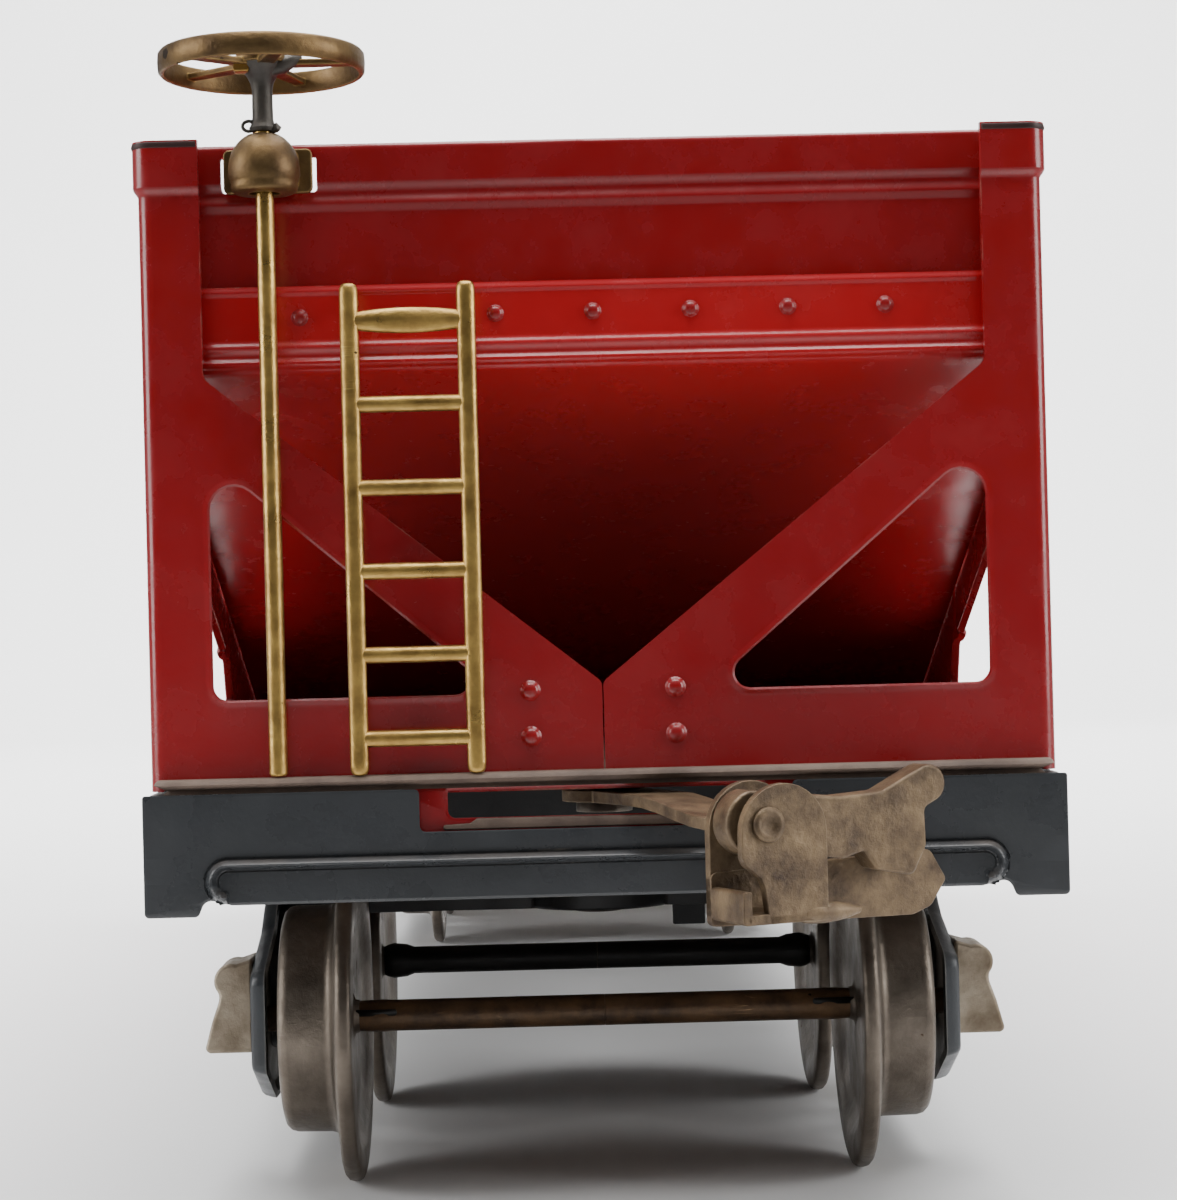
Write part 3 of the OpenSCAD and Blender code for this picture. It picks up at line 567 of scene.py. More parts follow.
def make_finishes(wear, enamel):
    """One material for each finish, all built from the shared effects; enamel is the body's linear colour."""
    edge_wear, chips, mottle = edge_wear_group(), chips_group(), mottle_group()
    dust, scratches, relief = dust_group(), scratches_group(), relief_group()
    made = {}
    for name, look in FINISHES.items():
        material = bpy.data.materials.new(name)
        material.use_nodes = True
        graph = Graph(material.node_tree)
        shader = material.node_tree.nodes["Principled BSDF"]
        edges = graph.group(edge_wear, {"Width": look["edge"] * MM, "Amount": look["edge_amount"] * wear})
        pits = graph.group(chips, {"Scale": look["chip_scale"], "Amount": look["chips"] * wear})
        marks = graph.group(scratches, {"Amount": look["scratch"] * wear})
        powder = graph.group(dust, {"Amount": look["dusting"] * wear})
        plain, deep = rgb(*look["base"]), rgb(*look["deep"])
        if name.startswith("red"):
            plain, deep = ([own * new / old for own, new, old in zip(tone, enamel, ENAMEL)] + [1.0]
                           for tone in (plain, deep))
        colour = graph.group(mottle, {"Scale": look["mottle"], "Colour 1": plain, "Colour 2": deep})
        colour = graph.mix(powder, colour, rgb(*look["dust"]))
        colour = graph.mix(pits, colour, rgb(*look["chip"]))
        colour = graph.mix(graph.times(marks, 0.6), colour, rgb(*look["bare"]))
        colour = graph.mix(edges, colour, rgb(*look["bare"]))
        hurt = graph.math("ADD", graph.math("ADD", edges, pits), graph.times(powder, 0.8), True)
        grain = graph.noise(graph.place(), 260.0, 5.0, 0.6)
        uneven = graph.ramp(grain, 0.3, 0.75, look["rough"] - 0.06, look["rough"] + 0.14)
        rough = graph.math("ADD", uneven, graph.times(hurt, 0.2))
        links = material.node_tree.links
        links.new(colour, shader.inputs["Base Color"])
        links.new(rough, shader.inputs["Roughness"])
        links.new(graph.group(relief, {"Waves": look["waves"], "Skin": look["skin"]}), shader.inputs["Normal"])
        shader.inputs["Metallic"].default_value = look["metallic"]
        shader.inputs["Coat Weight"].default_value = look["coat"]
        shader.inputs["Coat Roughness"].default_value = 0.18
        made[name] = material
    return made


# ---- hopper ----

SIDE_SHEET, END_SHEET, SLOPE_SHEET = 0.7, 0.5, 0.6
FOLD_R = 1.3
FOLD_STEPS = 7
SEAM = 0.05
FACE_RUN = HALF_W - SEAM - FOLD_R
FOLD_RUN = FOLD_R * pi / 2
SIDE_RUN = 2 * (END_Y - FOLD_R)
SIDE_LENGTH = 2 * FACE_RUN + 2 * FOLD_RUN + SIDE_RUN
RIB_COUNT, RIB_FROM_END, RIB_HALF_W = 7, 50, 1.1
RIB_Y = span(RIB_FROM_END - END_Y, END_Y - RIB_FROM_END, RIB_COUNT)
RIB_OUT = RIM_OUT - 0.2
RIM_BAND, BAND_OUT = 4.3, 0.42
RIM_LOW = RIM_Z - RIM_BAND
LAP_RIVETS, RIVET_PITCH, RIVET_R, GUSSET_RIVET_R = 7, 8.15, 0.6, 0.72


def along_side(run):
    """Point and outward direction on the line of a side sheet, from one end's seam round to the other's."""
    if run > SIDE_LENGTH / 2:
        point, out = along_side(SIDE_LENGTH - run)
        return Vector((point.x, -point.y)), Vector((out.x, -out.y))
    if run < FACE_RUN:
        return Vector((SEAM + run, -END_Y)), Vector((0, -1))
    if run < FACE_RUN + FOLD_RUN:
        turn = (run - FACE_RUN) / FOLD_R
        out = Vector((sin(turn), -cos(turn)))
        return Vector((HALF_W - FOLD_R, FOLD_R - END_Y)) + out * FOLD_R, out
    return Vector((HALF_W, FOLD_R - END_Y + run - FACE_RUN - FOLD_RUN)), Vector((1, 0))


def side_run(y):
    """How far along a side sheet's line a place on its long side is."""
    return FACE_RUN + FOLD_RUN + y + END_Y - FOLD_R


def fold_runs():
    """Places along a side sheet's line at which its first fold is cut."""
    return [FACE_RUN + FOLD_RUN * i / FOLD_STEPS for i in range(FOLD_STEPS + 1)]


def side_relief(y, z):
    """How far a side stands out: the rim band and the pressed ribs."""
    out = BAND_OUT * smooth_step(z, RIM_LOW - 0.3, RIM_LOW + 0.5)
    ends = smooth_step(z, DECK_Z + 0.8, DECK_Z + 2.2) * (1 - smooth_step(z, RIM_LOW - 2.2, RIM_LOW - 0.8))
    for rib in RIB_Y:
        if abs(y - rib) < RIB_HALF_W:
            out = max(out, RIB_OUT * bead(y, rib, RIB_HALF_W) * ends)
    return out


def side_place(side):
    """The map from a flat side sheet to its folded shape."""
    def place(u, v, lift):
        point, out = along_side(u)
        y = point.y if FACE_RUN + FOLD_RUN < u < SIDE_LENGTH - FACE_RUN - FOLD_RUN else 1e3
        point = point + out * (side_relief(y, v) + lift)
        return Vector((side * point.x, point.y, v))
    return place


def gusset_hole():
    """Triangular hole of an end gusset, in x and z."""
    out_x = HALF_W - POST_W + 0.5
    low_z = DECK_Z + 6.4
    grade = (V_TOP_Z - GUSSET_Z) / V_OUT_X
    top_z = GUSSET_Z + grade * out_x - 5.2 * hypot(1, grade) + 0.3
    return fillet([(out_x * 0.27, low_z), (out_x, low_z), (out_x, top_z)], [1.3, 1.2, 2.0], 7)


def side_opening():
    """Opening in a side sheet under a slope sheet, in y and z, at the near end."""
    grade = (SLOPE_TOP_Z - DECK_Z) / (WALL_Y - SLOPE_FOOT_Y)
    low_z = DECK_Z + 4.7
    out_y, in_y = -(END_Y - POST_W - 0.5), -(END_Y - 52)
    out_z = SLOPE_TOP_Z - (WALL_Y + out_y) * grade - 5
    in_z = max(SLOPE_TOP_Z - (WALL_Y + in_y) * grade - 5, low_z + 1)
    return fillet([(out_y, low_z), (in_y + 2, low_z), (in_y, in_z), (out_y, out_z)], [1.5, 0.4, 0.4, 1.8], 5)


def side_sheet(side):
    """One side of the hopper: a sheet folded round both ends, with its rim band, ribs and openings."""
    hang = 1.0
    far = SIDE_LENGTH
    corner = FACE_RUN + 0.2
    outline = [
        (0, DECK_Z), (corner - 0.8, DECK_Z), (corner, DECK_Z - hang), (far - corner, DECK_Z - hang),
        (far - corner + 0.8, DECK_Z), (far, DECK_Z), (far, GUSSET_Z), (far - V_OUT_X, V_TOP_Z),
        (far - V_OUT_X, RIM_Z), (V_OUT_X, RIM_Z), (V_OUT_X, V_TOP_Z), (0, GUSSET_Z)]
    outer = fillet(outline, [0, 0, 0, 0, 0, 0, 0.8, 1.2, 0, 0, 1.2, 0.8], 4)
    hole = gusset_hole()
    window = side_opening()
    holes = [[(p.x, p.y) for p in hole], [(far - p.x, p.y) for p in hole],
             [(side_run(p.x), p.y) for p in window], [(side_run(-p.x), p.y) for p in window]]
    folds = fold_runs()
    columns = folds + [far - run for run in folds]
    for rib in RIB_Y:
        columns += [side_run(rib + step) for step in span(-RIB_HALF_W, RIB_HALF_W, 11)]
    columns += [side_run(y) for y in span(-80, 80, 9)]
    rows = span(RIM_LOW - 0.3, RIM_LOW + 0.5, 8) + [DECK_Z + 0.8, DECK_Z + 1.5, DECK_Z + 2.2]
    rows += [RIM_LOW - 2.2, RIM_LOW - 1.5, RIM_LOW - 0.8]
    lips = [(0, 0.05), (0.18, 0.16), (0.42, 0.1), (0.75, 0)]
    return pressed_plate(side_place(side), outer, holes, lips, columns, rows, rim=[(0.05, 0)])


def rim_fold(side):
    """The folded edge along the top of a side: a thin roll that follows it round the posts."""
    bm = bmesh.new()
    first = V_OUT_X + 0.1
    folds = fold_runs()
    runs = [first] + folds + [side_run(y) for y in span(-120, 120, 25)]
    runs += [SIDE_LENGTH - run for run in folds[::-1]] + [SIDE_LENGTH - first]
    section = [(RIM_OUT - 0.06, -0.62), (RIM_OUT, -0.42), (RIM_OUT - 0.04, -0.14), (RIM_OUT - 0.25, 0),
               (-0.7, 0), (-0.95, -0.1), (-1.05, -0.4), (-1.0, -0.9), (-0.4, -1.0)]
    rings = []
    for run in runs:
        point, out = along_side(run)
        ring = []
        for step, rise in section:
            place = point + out * step
            ring.append(bm.verts.new((side * place.x, place.y, RIM_Z + rise)))
        rings.append(ring)
    close_skin(bm, rings)
    return bm


def end_sheet(near):
    """An end wall with its pressed ridges and a hem folded over at the top."""
    hem = 0.45
    top = RIM_Z - hem + hem * pi + 0.6

    def place(u, v, lift):
        ridge = 0.35 * smooth_step(v, RIM_LOW + 0.3, RIM_LOW + 1.1) + 0.22 * hump(v, RIM_LOW - 0.7, 0.8)
        over = v - (RIM_Z - hem)
        if over <= 0:
            return Vector((u, -WALL_Y - ridge - lift, v))
        turn = min(over / hem, pi)
        down = max(over - hem * pi, 0)
        back, rise = hem * (1 - cos(turn)), hem * sin(turn)
        return Vector((u, -WALL_Y - ridge + back, RIM_Z - hem + rise - down))

    outer = rectangle(-INNER_HALF, SLOPE_TOP_Z + 1, INNER_HALF, top)
    hole = rectangle(STAFF.x - 4, RIM_Z - 4, STAFF.x + 4, RIM_Z - 1, [0.3] * 4)
    rows = span(RIM_LOW - 1.5, RIM_LOW + 1.1, 22) + [RIM_Z - hem + hem * pi * i / 8 for i in range(9)]
    return pressed_plate(place, outer, [hole] if near else [], [(0.05, 0)], span(-30, 30, 7), rows)


def slope_plate():
    """A slope sheet: down the slope from its foot to a crease, then up over the end wall as a lap."""
    run, rise = WALL_Y - SLOPE_FOOT_Y, SLOPE_TOP_Z - DECK_Z
    slope = hypot(run, rise)
    radius = 1.2
    tilt = atan2(rise, run)
    bend = pi / 2 - tilt
    cut = radius * tan(bend / 2)
    straight = slope - cut + 0.5
    total = straight + radius * bend + LAP_TOP_Z - SLOPE_TOP_Z - cut + 0.5
    foot = Vector((-SLOPE_FOOT_Y, DECK_Z - 0.55))
    along = Vector((-cos(tilt), sin(tilt)))
    under = Vector((-sin(tilt), -cos(tilt)))

    def place(u, v, lift):
        if v <= straight:
            point, out = foot + along * v, under
        else:
            turn = min((v - straight) / radius, bend)
            centre = foot + along * straight - under * radius
            out = Vector((-sin(tilt + turn), -cos(tilt + turn)))
            point = centre + out * radius
            point += Vector((0, 1)) * max(v - straight - radius * bend, 0)
        height = point.y
        ridge = 0.3 * hump(height, SLOPE_TOP_Z + 0.3, 0.55) + 0.28 * hump(height, SLOPE_TOP_Z + 1.6, 0.6)
        ridge += 0.14 * hump(height, LAP_TOP_Z - 0.35, 0.45)
        shift = -LAP_Y - (foot + along * straight - under * radius).x + radius
        point = point + out * (ridge + lift) + Vector((shift, 0)) * smooth_step(v, 0, straight)
        return Vector((u, point.x, point.y))

    outer = rectangle(-INNER_HALF, 0, INNER_HALF, total)
    rows = span(straight, straight + radius * bend, 8)
    rows += span(straight + 0.4, straight + 4.4, 26) + span(total - 0.9, total - 0.02, 8) + span(10, straight - 8, 8)
    return pressed_plate(place, outer, [], [(0.05, 0)], span(-30, 30, 7), sorted(set(rows)))


def rivet_heads(end):
    """Round-headed rivets: a row along the lap and two pairs in the gussets."""
    bm = bmesh.new()
    middle = (LAP_RIVETS - 1) // 2
    spots = [((i - middle) * RIVET_PITCH, -LAP_Y, SLOPE_TOP_Z + 4.1, RIVET_R) for i in range(LAP_RIVETS)]
    spots += [(x, -END_Y, GUSSET_Z - drop, GUSSET_RIVET_R) for x in (-6, 6) for drop in (0.6, 4.4)]
    for x, y, z, radius in spots:
        place = at_end(end) @ Matrix.Translation((x, y, z)) @ Matrix.Rotation(pi / 2, 4, "X")
        profile = [(radius * 1.3, -0.1), (radius * 1.15, 0.05)]
        profile += [(radius * cos(t), 0.06 + radius * 0.6 * sin(t)) for t in span(0.15, pi / 2 - 0.05, 7)]
        profile += [(0, 0.06 + radius * 0.6)]
        lathe(bm, profile, 24, place)
    face_out(bm)
    return bm


def build_hopper(made):
    """Sides, ends, slopes, rim folds and rivets."""
    for side, word in ((1, "right"), (-1, "left")):
        piece = sheet_piece(f"side_{word}", side_sheet(side), SIDE_SHEET, made["red_enamel"], 0.1)
        finish_piece(piece, "wagon", "red_enamel", f"body_side_{word}")
        fold = ease(from_bmesh(f"rim_fold_{word}", rim_fold(side), made["rim_brown"]), 0.08)
        finish_piece(fold, "wagon", "red_enamel")
    for end in ENDS:
        wall = turn_to(end_sheet(end == "near"), end)
        finish_piece(sheet_piece(f"end_sheet_{end}", wall, END_SHEET, made["red_enamel"], 0.08), "wagon", "red_enamel",
                     f"end_wall_{end}")
        slope = turn_to(slope_plate(), end)
        # The slope sheets take the brighter red: painted light inside the hopper.
        finish_piece(sheet_piece(f"slope_{end}", slope, SLOPE_SHEET, made["red_slope_painted_light"], 0.1), "wagon", "red_enamel",
                     f"slope_sheet_{end}")
        finish_piece(from_bmesh(f"rivet_heads_{end}", rivet_heads(end), made["red_enamel"]), "wagon", "red_enamel",
                     f"rivets_{end}")
    dress("hopper_ridge", made["red_enamel"], 0.3)


# ---- frame ----

BEAM_SHEET, SLOT_SHEET = 0.9, 0.8
NOTCH_X, SLOT_PLATE_X, SLOT_X = 15.3, 17, 13
BEAD_X, BEAD_R, BEAD_TOP = 33.0, 1.95, 4.8


def beam_crest(x, z):
    """Height of the pressed bead along an end beam."""
    dx = max(abs(x) - (BEAD_X - BEAD_R), 0)
    dz = z - (BEAM_LOW + BEAD_TOP - BEAD_R)
    inside = BEAD_R - hypot(dx, dz if dx else max(dz, 0))
    if inside <= 0:
        return 0
    return 0.8 * smooth_step(inside, 0, 0.6) - 0.76 * smooth_step(inside, 0.64, 1.0)


def beam_plate():
    """An end beam: tabs at its lower corners, a notch for the coupler and a pressed bead."""
    low_z, out_x, notch_x = BEAM_LOW, BEAM_HALF_W, NOTCH_X
    half = [(notch_x, DECK_UNDER - 3.5), (notch_x, DECK_UNDER), (out_x, DECK_UNDER), (out_x, low_z)]
    half_r = [0.5, 0.4, 0.25, 0.4]
    tab = [(out_x - 4.4, low_z), (out_x - 5.0, low_z + 1.45), (out_x - 7.2, low_z + 0.9)]
    tab_r = [0.45, 0.8, 0.9]
    right = half + tab
    radii = half_r + tab_r
    outline = right + [(-x, z) for x, z in right[::-1]]
    outer = fillet(outline, radii + radii[::-1], 5)
    columns = span(-33.2, -30.5, 22) + span(30.5, 33.2, 22) + span(-25, 25, 6)
    rows = span(BEAM_LOW + 2.8, BEAM_LOW + 4.9, 30) + span(BEAM_LOW + 0.95, BEAM_LOW + 2.7, 9)
    lips = [(0, -0.1), (0.2, 0)]
    return pressed_plate(lambda u, v, lift: Vector((u, -BEAM_FACE_Y - beam_crest(u, v) - lift, v)),
                         outer, [], lips, columns, rows)


def deck_plate():
    """The deck, with its front edges rounded and an opening over each chute."""
    half_x, half_y = HALF_W - 0.4, BEAM_FACE_Y + 0.15
    outer = rectangle(-half_x, -half_y, half_x, half_y, [1.4] * 4, 6)
    chute_x = (high("chute_near").x - low("chute_near").x) / 2
    holes = [rectangle(-chute_x, first, chute_x, last) for first, last in ((-SLOPE_FOOT_Y, -8), (8, SLOPE_FOOT_Y))]
    lips = [(0, -0.42), (0.1, -0.18), (0.3, -0.04), (0.55, 0)]
    return pressed_plate(lambda u, v, lift: Vector((u, v, DECK_Z + lift)), outer, holes, lips, [], span(-120, 120, 9))


def build_frame(made):
    """Deck, sills, end beams and the plates that the couplers swing in."""
    # The deck's pale finish is partly dust and partly painted sheen.
    deck = sheet_piece("deck", deck_plate(), DECK_T, made["deck_worn_with_painted_sheen"], 0.25)
    finish_piece(deck, "wagon", "black_enamel", "frame_deck")
    sills = bmesh.new()
    for side in (-1, 1):
        outline = fillet([(HALF_W + 0.1, BEAM_LOW + 0.5), (HALF_W + 0.1, DECK_UNDER), (HALF_W - 1.9, DECK_UNDER),
                          (HALF_W - 1.9, DECK_UNDER - 0.5), (HALF_W - 0.9, DECK_UNDER - 0.5),
                          (HALF_W - 0.9, BEAM_LOW + 0.5)], [0.35, 0.3, 0, 0, 0.3, 0.35], 4)
        prism(sills, outline, 2 * (BEAM_FACE_Y - 1),
              lambda u, v, d: Vector((side * u, d - BEAM_FACE_Y + 1, v)))
    finish_piece(ease(from_bmesh("side_sills", sills, made["black_enamel"]), 0.1), "wagon", "black_enamel")
    for end in ENDS:
        beam = turn_to(beam_plate(), end)
        finish_piece(sheet_piece(f"beam_{end}", beam, BEAM_SHEET, made["black_enamel"], 0.12), "wagon", "black_enamel",
                     f"end_beam_{end}")
        outer = rectangle(-SLOT_PLATE_X, BEAM_LOW + 2, SLOT_PLATE_X, DECK_UNDER, [0.5] * 4)
        slot = rectangle(-SLOT_X, DECK_UNDER - 2.5, SLOT_X, DECK_UNDER - 0.2, [0.6, 0.6, 0.25, 0.25], 4)
        plate = pressed_plate(lambda u, v, lift: Vector((u, -BEAM_FACE_Y + 1 - lift, v)), outer, [slot],
                              [(0, -0.12), (0.25, 0)])
        finish_piece(sheet_piece(f"slot_{end}", turn_to(plate, end), SLOT_SHEET, made["red_enamel"], 0.1), "wagon",
                     "red_enamel", f"slot_plate_{end}")
        # The lip along the slot's lower edge, in the deck's finish: a worn bare edge, partly a painted sheen.
        lip = bmesh.new()
        low_z = DECK_UNDER - 3.45
        outline = fillet([(-13.4, low_z), (15.0, low_z), (15.0, low_z + 0.8), (-10.6, low_z + 0.9),
                          (-11.2, low_z + 0.5), (-13.4, low_z + 0.4)], [0.15, 0.15, 0.3, 0.3, 0.3, 0.15], 3)
        prism(lip, outline, 0.3, lambda u, v, d: at_end(end) @ Vector((u, -BEAM_FACE_Y + 1.05 - d, v)))
        finish_piece(ease(from_bmesh(f"slot_lip_{end}", lip, made["deck_worn_with_painted_sheen"]), 0.1), "wagon", "red_enamel")


# ---- ladders ----

LADDER_X, LADDER_HALF_W, LADDER_OUT = -15.3, 4.8, 1.4
RAIL_END = ((0.38, 0.25), (0.6, 0.42), (0.74, 0.52), (0.77, 0.55))
RAIL_END_AT = (0, 0.12, 0.4, 0.9)


def ladder_metal(end, rungs, rung):
    """A ladder's rails, rungs and stand-offs."""
    x0, half, y = LADDER_X, LADDER_HALF_W, -(END_Y + LADDER_OUT)
    top = LAP_TOP_Z - 0.2
    bm = bmesh.new()
    for side in (-1, 1):
        x = x0 + side * half
        path = [(x, y, DECK_Z + 0.02 + h) for h in RAIL_END_AT] + [(x, y, top - h) for h in RAIL_END_AT[::-1]]
        tube(bm, path, RAIL_END + RAIL_END[::-1], 20)
        tube(bm, [(x, y, top - 1.2), (x, -LAP_Y, top - 1.2)], [0.6, 0.6], 16)
    low_z = DECK_Z + 3
    pitch = (top - 3.1 - low_z) / (rungs - 1)
    for i in range(rungs):
        z = low_z + i * pitch
        last = i == rungs - 1
        path = [(x0 + half * t, y + 0.1, z) for t in span(-1, 1, 9)]
        thick = [(rung / 2 + (0.4 * (1 - t * t) if last else 0), 0.52) for t in span(-1, 1, 9)]
        tube(bm, path, thick, 16)
    return turn_to(bm, end)


def build_ladders(made, rungs, rung):
    """A brass ladder at each end, with this many rungs, each this thick."""
    for end in ENDS:
        piece = ease(from_bmesh(f"ladder_metal_{end}", ladder_metal(end, rungs, rung), made["brass"]), 0.06)
        finish_piece(piece, "wagon", "brass", f"ladder_{end}")


# ---- hand brake ----

BRAKE_WHEEL_R, SPOKES = 8.5, 5


def build_brake(made):
    """Bracket, staff, wheel and nut of the hand brake."""
    x, y = STAFF.x, STAFF.y
    here = Matrix.Translation((x, y, 0))
    bm = bmesh.new()
    low_z = RIM_Z - 4.8
    profile = [(1.3, low_z + 0.1), (2.3, low_z + 0.1), (2.62, low_z + 0.25), (2.78, low_z + 0.6), (2.72, low_z + 0.9),
               (2.8, low_z + 1.1), (2.95, low_z + 1.6), (2.95, low_z + 2.2), (2.84, low_z + 2.9), (2.6, low_z + 3.6),
               (2.2, low_z + 4.2), (1.8, low_z + 4.6), (1.35, low_z + 4.9), (0.82, low_z + 5.05),
               (0.82, low_z + 3.6), (1.3, low_z + 3.4), (1.3, low_z + 0.1)]
    lathe(bm, profile, 72, here)
    face_out(bm)
    back_y = -WALL_Y - 0.4
    for half, depth, first_z, last_z, from_y in ((2.5, back_y - y - 1.5, low_z + 0.9, low_z + 4.1, y + 1.5),
                                                 (3.7, 0.6, low_z + 0.6, low_z + 4.3, back_y - 0.6),
                                                 (2.0, 1.1, low_z + 0.9, low_z + 3.7, back_y)):
        outline = rectangle(x - half, first_z, x + half, last_z, [0.5] * 4, 4)
        prism(bm, outline, depth, lambda u, v, d: Vector((u, from_y + d, v)))
    finish_piece(ease(from_bmesh("bracket", bm, made["aged_brass"]), 0.15), "wagon", "aged_brass", "brake_bracket")

    bm = bmesh.new()
    top = WHEEL_Z + 1.0
    lathe(bm, [(0, DECK_Z + 0.1), (0.6, DECK_Z + 0.12), (0.75, DECK_Z + 0.35), (0.75, RIM_Z + 0.2), (0.75, top),
               (0.6, top + 0.2), (0, top + 0.25)], 32, here)
    finish_piece(ease(from_bmesh("staff", bm, made["brass"]), 0.05), "hand_brake", "brass", "brake_staff")

    bm = bmesh.new()
    neck = RIM_Z + 0.35
    lathe(bm, [(0.7, neck), (1.0, neck + 0.05), (1.15, neck + 0.35), (0.95, neck + 0.7), (0.86, neck + 1.1),
               (0.84, WHEEL_Z - 2.2), (0.95, WHEEL_Z - 1.6), (1.25, WHEEL_Z - 1.0), (1.7, WHEEL_Z - 0.5),
               (2.1, WHEEL_Z + 0.1), (2.0, WHEEL_Z + 0.6), (0.7, WHEEL_Z + 0.65), (0.7, neck)], 40, here)
    face_out(bm)
    loop = [(x - 1.15 + 0.5 * cos(a), y - 0.3, neck + 0.5 + 0.42 * sin(a)) for a in span(0.6, 2 * pi * 0.95, 13)]
    tube(bm, loop, [0.15] * 13, 10)
    tube(bm, [(x + 0.7, y - 0.3, neck + 0.1), (x + 1.2, y - 0.4, neck + 0.35), (x + 1.45, y - 0.3, neck + 0.2)],
         [0.35, 0.42, 0.2], 14)
    tube(bm, [(x + 0.6, y - 0.4, WHEEL_Z - 0.7), (x + 1.7, y - 0.6, WHEEL_Z - 0.25),
              (x + 2.6, y - 0.5, WHEEL_Z + 0.2), (x + 3.3, y - 0.3, WHEEL_Z + 0.45)], [0.5, 0.75, 0.6, 0.25], 16)
    finish_piece(ease(from_bmesh("solder", bm, made["solder"]), 0.05), "hand_brake", "brass")

    bm = bmesh.new()
    rim = BRAKE_WHEEL_R
    lathe(bm, [(rim - 0.5, WHEEL_Z - 0.9), (rim - 0.25, WHEEL_Z - 0.95), (rim - 0.05, WHEEL_Z - 0.7), (rim, WHEEL_Z),
               (rim - 0.05, WHEEL_Z + 0.7), (rim - 0.25, WHEEL_Z + 0.95), (rim - 0.5, WHEEL_Z + 0.9),
               (rim - 0.62, WHEEL_Z + 0.6), (rim - 0.62, WHEEL_Z - 0.6), (rim - 0.5, WHEEL_Z - 0.9)], 128, here)
    hub = [(0.8, WHEEL_Z - 0.1), (2.2, WHEEL_Z - 0.05), (2.3, WHEEL_Z + 0.3), (2.2, WHEEL_Z + 0.6),
           (0.8, WHEEL_Z + 0.68), (0.8, WHEEL_Z - 0.1)]
    lathe(bm, hub, 48, here)
    face_out(bm)
    outline = [(1.2, -0.75), (rim - 0.6, -0.5), (rim - 0.6, 0.5), (1.2, 0.75)]
    for i in range(SPOKES):
        turn = Matrix.Rotation(i * 2 * pi / SPOKES, 4, "Z")
        prism(bm, outline, 0.5, lambda u, v, d: here @ (turn @ Vector((u, v, WHEEL_Z - 0.25 + d))))
    finish_piece(ease(from_bmesh("wheel_rim", bm, made["aged_brass"]), 0.08), "hand_brake", "aged_brass",
                 "brake_wheel")

    bm = bmesh.new()
    hexagon = [(1.3 * cos(a), 1.3 * sin(a)) for a in span(0, 2 * pi, 7)[:-1]]
    prism(bm, hexagon, 0.9, lambda u, v, d: here @ Vector((u, v, WHEEL_Z + 0.68 + d)))
    prism(bm, rectangle(-2.2, -1.5, -0.9, -0.3), 1.25,
          lambda u, v, d: here @ Vector((u, v, WHEEL_Z - 0.85 + d)))
    finish_piece(ease(from_bmesh("nut", bm, made["brass"]), 0.15), "hand_brake", "brass", "brake_nut")


# ---- trucks ----

TRUCK_Y = (high("truck_bolster_far").y + low("truck_bolster_far").y) / 2
HALF_BASE = (low("axle_2").y - low("axle_1").y) / 2
SIDE_OUT = high("side_frame_right_near").x
JOURNAL_W = 6
TRUCK_SHEET = 0.7


def side_frame_sheet():
    """A truck's side frame about its middle: an outline with two windows and a turned-in edge."""
    half = HALF_BASE + 6.5
    low_z, top = AXLE_Z - 8.2, AXLE_Z + 13
    right = [(6, low_z), (HALF_BASE - 2, AXLE_Z - 7.8), (half, AXLE_Z - 4), (half, AXLE_Z + 5),
             (HALF_BASE - 4, AXLE_Z + 8), (8, top)]
    outer = fillet(right + [(-u, v) for u, v in right[::-1]], [1.5, 2, 1.2, 1.6, 3, 1.6, 1.6, 3, 1.6, 1.2, 2, 1.5], 5)
    window = [(6.2, AXLE_Z - 4.2), (HALF_BASE - 6, AXLE_Z - 2.6), (HALF_BASE - 6, AXLE_Z + 4.6), (6.2, AXLE_Z + 8.6)]
    holes = [fillet(window, [0.9] * 4, 4), fillet([(-u, v) for u, v in window], [0.9] * 4, 4)]
    lips = [(0, -1.4), (0.1, -0.9), (0.28, -0.35), (0.55, -0.06), (0.85, 0)]
    return outer, holes, lips


def journal_profile():
    """A journal box seen along its side: flared foot, waist and round lid, in x and z from its axle."""
    points = [(0.02, -2.7), (4.1, -2.7), (4.6, -2.5), (4.5, -2.0), (3.9, 0.2), (3.3, 1.9), (3.15, 2.5)]
    return points + arc(2.0, 3.9, 1.65, -38, 104, 10) + [(0.9, 5.7), (0.02, 6.0)]


def build_trucks(made):
    """Side frames and journal boxes of both trucks."""
    outer, holes, lips = side_frame_sheet()
    for end in ENDS:
        centre = TRUCK_Y if end == "far" else -TRUCK_Y
        for side, word in ((1, "right"), (-1, "left")):
            bm = pressed_plate(lambda u, v, lift: Vector((side * (SIDE_OUT + lift), centre + u, v)), outer, holes,
                               lips)
            piece = sheet_piece(f"truck_side_{word}_{end}", bm, TRUCK_SHEET, made["truck_enamel"], 0.1)
            nodes = [f"side_frame_{hand}_{end}" for hand in ("left", "right")]
            node = next(node for node in nodes if (low(node).x > 0) == (side > 0))
            finish_piece(piece, f"truck_{end}", "truck_enamel", node)
        bm = bmesh.new()
        for side in (-1, 1):
            for fore in (-1, 1):
                y = centre + fore * HALF_BASE
                prism(bm, journal_profile(), JOURNAL_W, lambda u, v, d: Vector(
                    (side * (SIDE_OUT + u), y - JOURNAL_W / 2 + d, AXLE_Z + v)))
        piece = ease(from_bmesh(f"journals_{end}", bm, made["nickel"]), 0.35, 3, 30)
        finish_piece(piece, f"truck_{end}", "nickel", f"journal_boxes_{end}")
        # The bolster takes the darker black: painted shade under the wagon.
        dress(f"truck_bolster_{end}", made["under_black_painted_shade"], 0.3)


# ---- wheelsets ----

WHEEL_INNER_X, TREAD_R, WHEEL_W = 22.6, 10.5, 7.1


